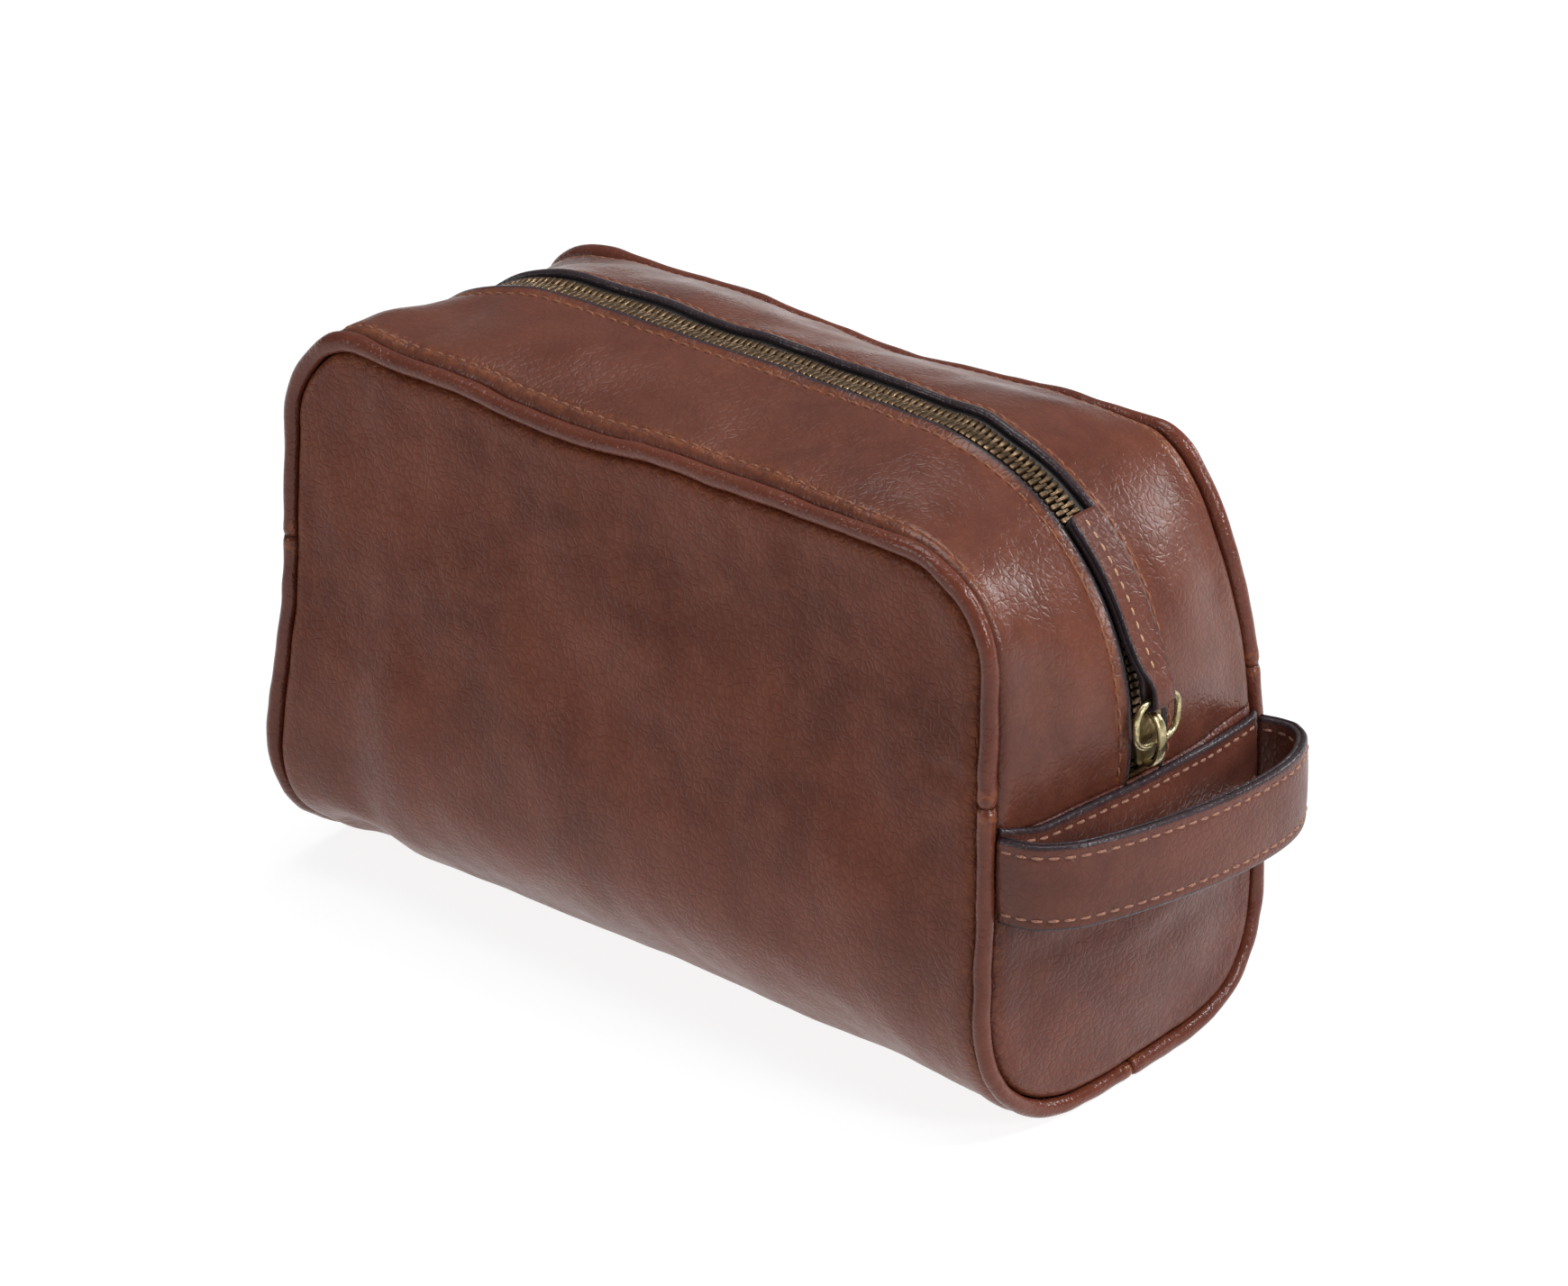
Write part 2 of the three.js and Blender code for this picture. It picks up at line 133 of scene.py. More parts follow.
def hump(value, middle, reach):
    return np.exp(-(((np.asarray(value, float) - middle) / reach) ** 2))


def round_fall(distance, radius):
    """How far a rounded edge has dropped, as a share of its depth: 1 at the edge, 0 past its radius."""
    near = np.clip(radius - distance, 0, radius) / radius
    return 1 - np.sqrt(np.clip(1 - near ** 2, 0, 1))


def unit(vectors):
    return vectors / np.maximum(np.linalg.norm(vectors, axis=-1, keepdims=True), 1e-9)


def half_length(z):
    return lerp(HALF_LENGTH[0], HALF_LENGTH[1], (z - SEAM_BOTTOM) / (SEAM_TOP - SEAM_BOTTOM))


def half_depth(z):
    return lerp(HALF_DEPTH[0], HALF_DEPTH[1], (z - SEAM_BOTTOM) / (SEAM_TOP - SEAM_BOTTOM))


ARCH_Z = SEAM_TOP - ARCH_RADIUS
ARCH_X = half_length(ARCH_Z) - ARCH_RADIUS
SIDE_START = SEAM_BOTTOM + CORNER_RADIUS
FLAT_HALF = HALF_DEPTH[0] - CORNER_RADIUS


# ---- the give of soft leather

def waves(points, wavelength, seed):
    """A smooth random field of about -1 to 1, made of sine waves in random directions."""
    rng = np.random.default_rng(seed)
    field = np.zeros(points.shape[:-1])
    for _ in range(9):
        direction = rng.normal(size=3)
        direction /= np.linalg.norm(direction)
        length = wavelength * rng.uniform(0.7, 1.5)
        field += np.sin(points @ direction * (2 * math.pi / length) + rng.uniform(0, 2 * math.pi))
    return field / 3


# Each spot: its middle, its reach along X, Y and Z, and how far it pushes the leather there.
SPOTS = (
    ((-30, -50, 158), (36, 18, 18), (0, 0.6, -2.6)),
    ((-105, -34, 156), (16, 17, 13), (0, -0.8, 5.0)),
    ((-80, -22, 164), (18, 13, 10), (0, 0, -2.6)),
    ((-100, 26, 152), (24, 22, 20), (0, 0, -4.4)),
    ((-66, 50, 157), (34, 22, 16), (0, 0, -4.4)),
    ((4, 50, 157), (34, 22, 16), (0, 0, -5.0)),
    ((118, 46, 138), (20, 20, 26), (-6.2, 0, -3.0)),
    ((124, 50, 36), (16, 22, 24), (-2.4, -0.6, 0)),
    ((-122, -52, 88), (16, 20, 26), (1.8, 0, 0)),
    ((-124, -55, 42), (20, 24, 20), (-0.3, -0.8, 0)),
    ((-113, -58, 20), (9, 18, 16), (0, -0.9, 0)),
    ((-105, -38, 6), (11, 20, 12), (0, 3.4, 4.0)),
    ((-94, -54, 26), (7, 20, 22), (0, 1.9, 0)),
    ((-50, -50, 12), (36, 24, 22), (0, 3.2, 2.0)),
    ((8, -50, 12), (36, 24, 22), (0, 3.2, 2.2)),
    ((66, -50, 12), (36, 24, 22), (0, 3.0, 2.2)),
    ((-94, -56, 66), (9, 14, 30), (0, 1.1, 0)),
    ((-80, -56, 58), (12, 14, 36), (0, -1.2, 0)),
    ((20, -54, 120), (50, 16, 22), (0, 1.6, 0)),
    ((20, -58, 62), (70, 16, 26), (0, -1.4, 0)),
    ((108, -52, 100), (9, 10, 2.2), (0, 1.5, 0)),
    ((0, 56, 70), (80, 18, 40), (0, 2.0, 0)),
    ((40, 52, 118), (30, 18, 16), (0, -1.6, 0)),
    ((-60, 52, 110), (26, 18, 20), (0, -1.2, 0)),
    ((128, -20, 52), (14, 34, 4.5), (-1.1, 0, 0)),
    ((128, 14, 40), (14, 30, 5.0), (-0.9, 0, 0)),
    ((-128, 10, 60), (14, 30, 6.0), (1.4, 0, 0)),
    ((-126, -16, 78), (14, 30, 7.0), (1.2, 0, 0)),
)


def soften(points):
    """Sags and bulges that every soft piece shares, so that neighbours keep their distance."""
    shift = np.zeros_like(points)
    for middle, reach, push in SPOTS:
        near = np.exp(-(((points - middle) / np.array(reach, float)) ** 2).sum(axis=-1))
        shift += near[..., None] * np.array(push, float)
    for axis, amount in enumerate((0.45, 0.55, 0.45)):
        shift[..., axis] += amount * waves(points, 46, 11 + axis)
        shift[..., axis] += 0.16 * waves(points, 17, 31 + axis)
    x, y, z = np.moveaxis(points, -1, 0)
    beside_slider = hump(y, 0, 20) * smooth(x, 70, 96) * smooth(z, 70, 84)
    by_handle_ends = smooth(x, 112, 120) * smooth(abs(y), 30, 44) * hump(z, 75.5, 18)
    shift *= (1 - np.maximum(beside_slider, 0.8 * by_handle_ends))[..., None]
    shift[..., 2] *= smooth(z, 0.5, 9)
    shift *= smooth(z, -8, 6)[..., None]
    return points + shift


# ---- making meshes

def make_piece(name, vertices, faces, slot, material, replaces=(), marks=None, sharp=None):
    """A mesh object from points in millimetres. Marks are named amounts per point, read by the material."""
    vertices = np.asarray(vertices, float).reshape(-1, 3)
    mesh = bpy.data.meshes.new(name)
    mesh.from_pydata((vertices * MM).tolist(), [], faces)
    work = bmesh.new()
    work.from_mesh(mesh)
    bmesh.ops.recalc_face_normals(work, faces=work.faces)
    work.to_mesh(mesh)
    work.free()
    for polygon in mesh.polygons:
        polygon.use_smooth = True
    if sharp is not None:
        mesh.set_sharp_from_angle(angle=math.radians(sharp))
    rest = mesh.attributes.new("rest", "FLOAT_VECTOR", "POINT")
    rest.data.foreach_set("vector", (vertices * MM).astype(np.float32).ravel())
    for mark in ("edge", "wear"):
        values = np.zeros(len(vertices)) if not marks or mark not in marks else np.ravel(marks[mark])
        attribute = mesh.attributes.new(mark, "FLOAT", "POINT")
        attribute.data.foreach_set("value", values.astype(np.float32))
    mesh.materials.append(material)
    piece = bpy.data.objects.new(name, mesh)
    bpy.context.scene.collection.objects.link(piece)
    if replaces:
        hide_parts(*replaces)
    return piece


def two_skins(outer, inner, closed):
    """Points and faces of two grids back to back. Closed ones join each row's last point to its first."""
    rows, columns = outer.shape[:2]
    skin = rows * columns
    faces = []
    for r in range(rows - 1):
        for c in range(columns if closed else columns - 1):
            d = (c + 1) % columns
            quad = (r * columns + c, r * columns + d, (r + 1) * columns + d, (r + 1) * columns + c)
            faces.append(quad)
            faces.append(tuple(skin + k for k in reversed(quad)))
    return np.concatenate([outer.reshape(-1, 3), inner.reshape(-1, 3)]), faces


def slab(outer, inner):
    """Points and faces of a closed sheet between two grids of the same shape."""
    rows, columns = outer.shape[:2]
    skin = rows * columns
    vertices, faces = two_skins(outer, inner, closed=False)
    rim = list(range(columns))
    rim += [r * columns + columns - 1 for r in range(1, rows)]
    rim += [(rows - 1) * columns + c for c in range(columns - 2, -1, -1)]
    rim += [r * columns for r in range(rows - 2, 0, -1)]
    for k, a in enumerate(rim):
        b = rim[(k + 1) % len(rim)]
        faces.append((b, a, skin + a, skin + b))
    return vertices, faces


def soft_slab(outer, inner):
    """A slab that shares the bag's sag."""
    return slab(soften(outer), soften(inner))


def skin_marks(outer, inner=None):
    """A mark for each point of a slab. An inner skin that isn't given has none."""
    return np.concatenate([outer.ravel(), np.zeros(outer.size) if inner is None else inner.ravel()])


def loft(sections, ring=False):
    """Points and faces of a skin through closed sections, capped at its ends or closed into a ring."""
    count, sides = sections.shape[:2]
    faces = []
    for k in range(count if ring else count - 1):
        here, there = k * sides, ((k + 1) % count) * sides
        for s in range(sides):
            t = (s + 1) % sides
            faces.append((here + s, here + t, there + t, there + s))
    if not ring:
        faces.append(tuple(range(sides - 1, -1, -1)))
        faces.append(tuple((count - 1) * sides + s for s in range(sides)))
    return sections.reshape(-1, 3), faces


def hose(outside, inside):
    """A skin through two sets of closed sections, one inside the other, joined at their ends."""
    count, sides = outside.shape[:2]
    skin = count * sides
    vertices, faces = two_skins(outside, inside, closed=True)
    for k in (0, count - 1):
        for s in range(sides):
            a, b = k * sides + s, k * sides + (s + 1) % sides
            faces.append((a, b, skin + b, skin + a))
    return vertices, faces


def together(shapes):
    """Several (points, faces) in one."""
    vertices, faces, start = [], [], 0
    for points, shape_faces in shapes:
        points = np.asarray(points, float).reshape(-1, 3)
        vertices.append(points)
        faces += [tuple(start + v for v in face) for face in shape_faces]
        start += len(points)
    return np.concatenate(vertices), faces


def resample(path, spacing=None, count=None):
    """The same line with evenly spaced points, and the distance of each along it."""
    steps = np.linalg.norm(np.diff(path, axis=0), axis=1)
    reach = np.concatenate([[0], np.cumsum(steps)])
    count = count or max(2, round(reach[-1] / spacing) + 1)
    at = np.linspace(0, reach[-1], count)
    return np.stack([np.interp(at, reach, path[:, axis]) for axis in range(3)], axis=1), at


def catmull(points, steps=10):
    """A smooth curve through all the points."""
    points = np.asarray(points, float)
    ends = [2 * points[0] - points[1], *points, 2 * points[-1] - points[-2]]
    curve = []
    for a, b, c, d in zip(ends, ends[1:], ends[2:], ends[3:]):
        for t in np.arange(steps) / steps:
            curve.append(0.5 * (2 * b + (c - a) * t + (2 * a - 5 * b + 4 * c - d) * t * t
                                + (3 * b - a - 3 * c + d) * t ** 3))
    curve.append(points[-1])
    return np.array(curve)


def path_frames(path, across):
    """Two directions square to the path at each point; the first stays near to across."""
    along = unit(np.gradient(path, axis=0))
    across = np.broadcast_to(np.asarray(across, float), along.shape)
    side = unit(across - (across * along).sum(axis=1, keepdims=True) * along)
    return side, np.cross(side, along)


def round_sections(path, across, radius, sides):
    """Circles along a path. The radius is a number, or an array with one for each corner of each circle."""
    side, up = path_frames(path, across)
    turn = np.arange(sides) * 2 * math.pi / sides
    radius = np.broadcast_to(radius, (len(path), sides))[..., None]
    ring = side[:, None] * np.cos(turn)[:, None] + up[:, None] * np.sin(turn)[:, None]
    return path[:, None] + ring * radius


# A stitch's sections: how far along it, how thick and how deep.
STITCH_SHAPE = ((-0.5, 0.45, 0.42), (-0.36, 0.95, 0.12), (0, 1.1, 0), (0.36, 0.95, 0.12), (0.5, 0.45, 0.42))


def stitch_row(path, outward, pitch=4.0, length=3.0, thread=0.38):
    """Short stitches that lie along a path, with both ends dipping into their holes."""
    even, at = resample(path, spacing=pitch)
    steps = np.concatenate([[0], np.cumsum(np.linalg.norm(np.diff(path, axis=0), axis=1))])
    up = unit(np.stack([np.interp(at, steps, outward[:, axis]) for axis in range(3)], axis=1))
    along = unit(np.gradient(even, axis=0))
    across = unit(np.cross(along, up))
    turn = np.arange(6) * math.pi / 3
    shapes = []
    for middle, a, b, c in zip(even, along, across, up):
        wide, high = np.outer(np.cos(turn), b), np.outer(np.sin(turn), c)
        rings = []
        for share, fat, sink in STITCH_SHAPE:
            centre = middle + a * share * length - c * sink
            rings.append(centre + wide * thread * fat + high * thread * fat)
        shapes.append(loft(np.array(rings)))
    return together(shapes)


# ---- the panels' surfaces

def profile(t):
    """Y and Z of the back half of the bag's section: the bottom to t = 1, its corner to 2, the side to 3."""
    t = np.asarray(t, float)
    turn = (np.clip(t, 1, 2) - 1) * math.pi / 2
    z = np.where(t > 2, lerp(SIDE_START, SEAM_TOP, t - 2), SEAM_BOTTOM + CORNER_RADIUS * (1 - np.cos(turn)))
    y = half_depth(z) - np.where(t > 2, 0, CORNER_RADIUS * (1 - np.sin(turn)))
    return np.where(t < 1, t * FLAT_HALF, y), z


def profile_out(t):
    step = 0.01
    (y0, z0), (y1, z1) = profile(t - step), profile(t + step)
    length = np.hypot(y1 - y0, z1 - z0)
    return np.where(t <= 1, 0, (z1 - z0) / length), np.where(t <= 1, -1, (y0 - y1) / length)


def edge_columns(half, middle, spacing=2.5):
    """Positions across a panel, from -half to half, that are close together at its two edges."""
    lines = np.array(EDGE_LINES)
    inner = np.linspace(-1, 1, 2 * round((middle - lines[-1]) / spacing) + 1)[1:-1]
    half = np.asarray(half, float)[:, None]
    return np.concatenate([-half + lines, inner * (half - lines[-1]), half - lines[::-1]], axis=1)


def rolled(distance, puff=0.45):
    """How far a panel's skin lies from flat near its edge: a low crest, then a round fall to the seam."""
    near = np.clip(EDGE_ROLL - distance, 0, EDGE_ROLL)
    return puff * hump(distance, 4.0, 2.6) - (EDGE_ROLL - np.sqrt(EDGE_ROLL ** 2 - near ** 2))


def wrap_rows(inset):
    """Rows down the front, under the bottom and up the back: t, half length and face of each."""
    arch = np.radians(np.linspace(90, 0, 24))
    t_arch = 2 + (ARCH_Z + (ARCH_RADIUS - inset) * np.sin(arch) - SIDE_START) / (SEAM_TOP - SIDE_START)
    runs = ((t_arch[-1], 2, 36), (2, 1, 24), (1, 0, 8))
    t_rest = np.concatenate([np.linspace(start, end, count)[1:] for start, end, count in runs])
    half_arch = ARCH_X + (ARCH_RADIUS - inset) * np.cos(arch)
    half = np.concatenate([half_arch, half_length(profile(t_rest)[1]) - inset])
    t = np.concatenate([t_arch, t_rest])
    face = np.concatenate([np.full(len(t), -1.0), np.full(len(t) - 1, 1.0)])
    return np.concatenate([t, t[-2::-1]]), np.concatenate([half, half[-2::-1]]), face


def wrap_grid(inset, offset_at):
    """A grid of the one-piece wrap; offset_at(t, distance from the edge) places it outside the seam line."""
    t, half, face = wrap_rows(inset)
    x = edge_columns(half, 110)
    y, z = profile(t)
    out_y, out_z = profile_out(t)
    in_arch = (abs(x) > ARCH_X) & (z[:, None] > ARCH_Z)
    straight = np.minimum(half_length(z)[:, None] - abs(x), SEAM_TOP - z[:, None])
    round_edge = ARCH_RADIUS - np.hypot(abs(x) - ARCH_X, z[:, None] - ARCH_Z)
    distance = np.where(in_arch, round_edge, straight) - inset
    offset = offset_at(t[:, None], distance)
    y = face[:, None] * (y[:, None] + out_y[:, None] * offset)
    z = z[:, None] + out_z[:, None] * offset
    return np.stack(np.broadcast_arrays(x, y, z), axis=-1), distance


def shoulder(angle):
    """A point of the zip's middle line over the right shoulder, and the direction outwards there."""
    out = np.stack([np.cos(np.radians(angle)), np.zeros_like(angle), np.sin(np.radians(angle))], axis=-1)
    return np.array([SHOULDER_X, 0, SHOULDER_Z]) + SHOULDER_RADIUS * out, out


STRAIGHT_UP = ARCH_Z - ZIP_END
QUARTER_ARCH = ARCH_RADIUS * math.pi / 2
SEAM_PATH = STRAIGHT_UP + QUARTER_ARCH + ARCH_X - SHOULDER_X
ZIP_END_ANGLE = math.degrees(math.asin((ZIP_END - SHOULDER_Z) / SHOULDER_RADIUS))


def seam_point(share):
    """X and Z of the seam line, and outwards there, for a share of its way from the zip's end to the top."""
    along = share * SEAM_PATH
    turn = np.clip((along - STRAIGHT_UP) / ARCH_RADIUS, 0, math.pi / 2)
    x = np.where(along <= STRAIGHT_UP, half_length(ZIP_END + along), ARCH_X + ARCH_RADIUS * np.cos(turn))
    x = np.where(along > STRAIGHT_UP + QUARTER_ARCH, ARCH_X - (along - STRAIGHT_UP - QUARTER_ARCH), x)
    z = np.where(along <= STRAIGHT_UP, ZIP_END + along, ARCH_Z + ARCH_RADIUS * np.sin(turn))
    return x, z, np.cos(turn), np.sin(turn)


class Band:
    """Stations along the band over the top, from low on the right end to low on the left."""

    def __init__(self, low=-0.02, per_shoulder=76, over_top=64):
        share = np.linspace(low, 1, per_shoulder)
        seam_x, seam_z, out_x, out_z = seam_point(share)
        middle, middle_out = shoulder(lerp(ZIP_END_ANGLE, 90, share))
        top_x = np.linspace(SHOULDER_X, -SHOULDER_X, over_top)[1:-1]
        level = np.ones_like(top_x)
        self.seam = self._joined(np.stack([seam_x, seam_z], 1), np.stack([top_x, SEAM_TOP * level], 1))
        self.middle = self._joined(middle[:, [0, 2]], np.stack([top_x, CROWN_TOP * level], 1))
        self.seam_out = self._joined(np.stack([out_x, out_z], 1), np.stack([0 * level, level], 1))
        self.middle_out = self._joined(middle_out[:, [0, 2]], np.stack([0 * level, level], 1))
        self.half_depth = half_depth(self.seam[:, 1])

    @staticmethod
    def _joined(right, top):
        left = right[::-1] * np.array([-1, 1])
        return np.concatenate([right, top, left])

    def at(self, y, offset):
        """Points at y (stations by columns) and at a distance outside the band's surface."""
        y, offset = np.broadcast_arrays(y, offset)
        share = ((y / self.half_depth[:, None]) ** 2)[..., None]
        flat = lerp(self.middle[:, None], self.seam[:, None], share)
        out = unit(lerp(self.middle_out[:, None], self.seam_out[:, None], share))
        flat = flat + out * offset[..., None]
        return np.stack([flat[..., 0], y, flat[..., 1]], axis=-1)

    def outward(self, y):
        base = self.at(y, np.zeros_like(y))
        return unit(self.at(y, np.ones_like(y)) - base)


def end_rows(inset, top=END_PANEL_TOP):
    """Z and half depth of rows down an end panel, whose lower corners are round."""
    side = np.linspace(top, SIDE_START, 24)[:-1]
    turn = np.linspace(math.pi / 2, 0, 26)
    corner = SIDE_START - (CORNER_RADIUS - inset) * np.cos(turn)
    pull = CORNER_RADIUS - inset - (CORNER_RADIUS - inset) * np.sin(turn)
    return np.concatenate([side, corner]), np.concatenate([half_depth(side), half_depth(corner) - pull])


def end_surface(y, z, depth, offset, end):
    bulge = END_BULGE * (1 - ((z - END_BULGE_MIDDLE) / END_BULGE_REACH) ** 2)
    x = half_length(z) + bulge * (1 - (y / depth) ** 2) + offset
    return np.stack(np.broadcast_arrays(end * x, y, z), axis=-1)


def end_grid(inset, offset_at, end):
    z, depth = end_rows(inset)
    y = edge_columns(depth - inset, 44)
    z, depth = z[:, None], depth[:, None]
    in_corner = (z < SIDE_START) & (abs(y) > half_depth(z) - CORNER_RADIUS)
    corner = CORNER_RADIUS - np.hypot(abs(y) - (half_depth(z) - CORNER_RADIUS), SIDE_START - z)
    distance = np.where(in_corner, corner, np.minimum(half_depth(z) - abs(y), z - SEAM_BOTTOM)) - inset
    return end_surface(y, z, depth, offset_at(distance), end), distance


# ---- materials

def srgb(red, green, blue):
    """A colour given as 0 to 255 screen values, for a shader socket."""
    def linear(value):
        value /= 255
        return value / 12.92 if value <= 0.04045 else ((value + 0.055) / 1.055) ** 2.4
    return (linear(red), linear(green), linear(blue), 1)


class Nodes:
    """Short ways to add and join shader nodes."""

    def __init__(self, name):
        self.material = bpy.data.materials.new(name)
        self.material.use_nodes = True
        self.tree = self.material.node_tree
        self.shader = self.tree.nodes["Principled BSDF"]

    def add(self, kind, settings=None, **inputs):
        node = self.tree.nodes.new(kind)
        for key, value in (settings or {}).items():
            setattr(node, key, value)
        for key, value in inputs.items():
            socket = node.inputs[key.replace("_", " ")]
            self.feed(socket, value)
        return node

    def feed(self, socket, value):
        if isinstance(value, bpy.types.NodeSocket):
            self.tree.links.new(value, socket)
        else:
            socket.default_value = value

    def place(self, stretch=(1, 1, 1), on_cad=False):
        """Positions on the piece at rest, so that the pattern stays put when the piece moves."""
        if on_cad:
            source = self.add("ShaderNodeTexCoord").outputs["Object"]
        else:
            source = self.add("ShaderNodeAttribute", {"attribute_name": "rest"}).outputs["Vector"]
        if stretch == (1, 1, 1):
            return source
        return self.add("ShaderNodeMapping", Vector=source, Scale=stretch).outputs["Vector"]

    def mark(self, name):
        return self.add("ShaderNodeAttribute", {"attribute_name": name}).outputs["Fac"]

    def noise(self, place, scale, detail=3.0, rough=0.55, kind="FBM", twist=0.0):
        node = self.add("ShaderNodeTexNoise", {"noise_type": kind}, Vector=place, Scale=scale, Detail=detail,
                        Roughness=rough, Distortion=twist)
        return node.outputs["Fac"]

    def cells(self, place, scale, feature="F1"):
        node = self.add("ShaderNodeTexVoronoi", {"feature": feature}, Vector=place, Scale=scale)
        return node.outputs["Distance"]

    def remap(self, value, low, high, to_low=0.0, to_high=1.0):
        node = self.add("ShaderNodeMapRange", {"interpolation_type": "SMOOTHSTEP"}, Value=value)
        for key, number in zip(("From Min", "From Max", "To Min", "To Max"), (low, high, to_low, to_high)):
            node.inputs[key].default_value = number
        return node.outputs["Result"]

    def maths(self, operation, a, b=0.0):
        node = self.add("ShaderNodeMath", {"operation": operation})
        self.feed(node.inputs[0], a)
        self.feed(node.inputs[1], b)
        return node.outputs[0]

    def mix(self, factor, a, b, blend="MIX"):
        node = self.add("ShaderNodeMix", {"data_type": "RGBA", "blend_type": blend})
        self.feed(node.inputs[0], factor)
        self.feed(node.inputs[6], a)
        self.feed(node.inputs[7], b)
        return node.outputs[2]

    def bump(self, height, depth, strength=1.0, under=None):
        node = self.add("ShaderNodeBump", Height=height, Distance=depth, Strength=strength)
        if under is not None:
            self.feed(node.inputs["Normal"], under)
        return node.outputs["Normal"]

    def shade(self, **inputs):
        for key, value in inputs.items():
            self.feed(self.shader.inputs[key.replace("_", " ")], value)
        return self.material


def leather(name, dark, main, light, rough=(0.28, 0.40), grain=1.0, mottle=1.0, shine=0.25, painted_floor_reflection=0.0):
    """Smooth hide, faintly mottled and creased, with dark painted edges, orange wear where marked and a
    painted floor reflection, paler and greyer low down.
    """
    n = Nodes(name)
    dark, main, light = srgb(*dark), srgb(*main), srgb(*light)
    place = n.place()
    drift = n.add("ShaderNodeTexNoise", Vector=place, Scale=260.0, Detail=2.0).outputs["Color"]
    warped = n.add("ShaderNodeVectorMath", {"operation": "MULTIPLY_ADD"})
    n.feed(warped.inputs[0], drift)
    n.feed(warped.inputs[1], (0.0035, 0.0035, 0.0035))
    n.feed(warped.inputs[2], place)
    warped = warped.outputs["Vector"]
    patches = n.remap(n.noise(place, 22, 3, 0.5), 0.30, 0.70)
    blotches = n.remap(n.noise(place, 95, 4, 0.62), 0.36, 0.66)
    specks = n.remap(n.noise(place, 700, 4, 0.65), 0.38, 0.68)
    crackle = n.remap(n.cells(warped, 430, "DISTANCE_TO_EDGE"), 0.0, 0.22)
    colour = n.mix(patches, dark, main)
    colour = n.mix(n.maths("MULTIPLY", blotches, 0.38 * mottle), colour, light)
    colour = n.mix(n.maths("MULTIPLY", specks, 0.25 * mottle), colour, dark)
    colour = n.mix(n.remap(crackle, 0, 1, 0.28 * mottle, 0.0), colour, dark)
    # Painted reflection: the hide is mixed towards a pale grey near the floor, fading out by 80 mm up, in
    # place of the white floor's reflection on the lower panels.
    height = n.add("ShaderNodeSeparateXYZ", Vector=place).outputs["Z"]
    colour = n.mix(n.remap(height, 0.0, 0.08, painted_floor_reflection, 0.0), colour, srgb(142, 112, 106))
    worn = n.maths("MULTIPLY", n.mark("wear"), n.remap(n.noise(place, 420, 4, 0.7), 0.4, 0.62))
    colour = n.mix(worn, colour, srgb(150, 88, 48))
    edge = n.mark("edge")
    paint = n.mix(n.noise(place, 200), srgb(38, 29, 32), srgb(60, 49, 54))
    colour = n.mix(edge, colour, paint)
    rolling = n.noise(place, 55, 3, 0.5)
    pores = n.remap(n.cells(warped, 1100), 0.0, 0.5)
    normal = n.bump(rolling, 0.0012, 0.35)
    normal = n.bump(n.noise(place, 240, 3, 0.5), 0.0005 * grain, 0.4, normal)
    normal = n.bump(crackle, 0.0003 * grain, 0.65, normal)
    normal = n.bump(pores, 0.00008 * grain, 0.4, normal)
    gloss = n.remap(n.noise(place, 60, 4, 0.6), 0.3, 0.7, rough[0], rough[1])
    gloss = n.maths("SUBTRACT", gloss, n.maths("MULTIPLY", edge, 0.06))
    return n.shade(Base_Color=colour, Roughness=gloss, Normal=normal, Specular_IOR_Level=shine)


def woven(name, dark, light, pitch, rough=0.9, on_cad=False):
    """Plain-woven cloth or tape: two sets of fine threads, with uneven colour."""
    n = Nodes(name)
    place = n.place(on_cad=on_cad)
    scale = 0.314 / pitch / MM / 20
    weave = []
    for axis in ("X", "Z"):
        stripes = n.add("ShaderNodeTexWave", {"bands_direction": axis}, Vector=place, Scale=scale,
                        Distortion=1.5, Detail=1.0)
        weave.append(stripes.outputs["Fac"])
    threads = n.maths("MAXIMUM", weave[0], weave[1])
    uneven = n.noise(place, 140, 4)
    colour = n.mix(n.maths("MULTIPLY", threads, uneven), srgb(*dark), srgb(*light))
    return n.shade(Base_Color=colour, Roughness=rough, Normal=n.bump(threads, 0.0002, 0.6), Sheen_Weight=0.25,
                   Sheen_Roughness=0.6)


def brass(name, bright, tarnish, rough, on_cad=False):
    """Antique brass: bright where it is rubbed, brown and duller in patches and specks."""
    n = Nodes(name)
    place = n.place(on_cad=on_cad)
    patches = n.remap(n.noise(place, 420, 4, 0.65, twist=0.5), 0.38, 0.64)
    specks = n.remap(n.noise(place, 2600, 3), 0.45, 0.7)
    dull = n.maths("MULTIPLY", n.maths("MAXIMUM", patches, specks), 0.6)
    colour = n.mix(dull, srgb(*bright), srgb(*tarnish))
    gloss = n.remap(patches, 0, 1, rough, rough + 0.2)
    return n.shade(Base_Color=colour, Roughness=gloss, Metallic=1.0, Normal=n.bump(specks, 0.00003, 0.4))


def plain_fibre(name, dark, light, scale, rough=0.9, stretch=(1, 1, 1), on_cad=False):
    """Thread, cord or board: short uneven fibres."""
    n = Nodes(name)
    place = n.place(stretch, on_cad)
    fibres = n.noise(place, scale, 4, 0.65, twist=0.6)
    colour = n.mix(n.remap(fibres, 0.3, 0.7), srgb(*dark), srgb(*light))
    return n.shade(Base_Color=colour, Roughness=rough, Normal=n.bump(fibres, 0.0002, 0.6))


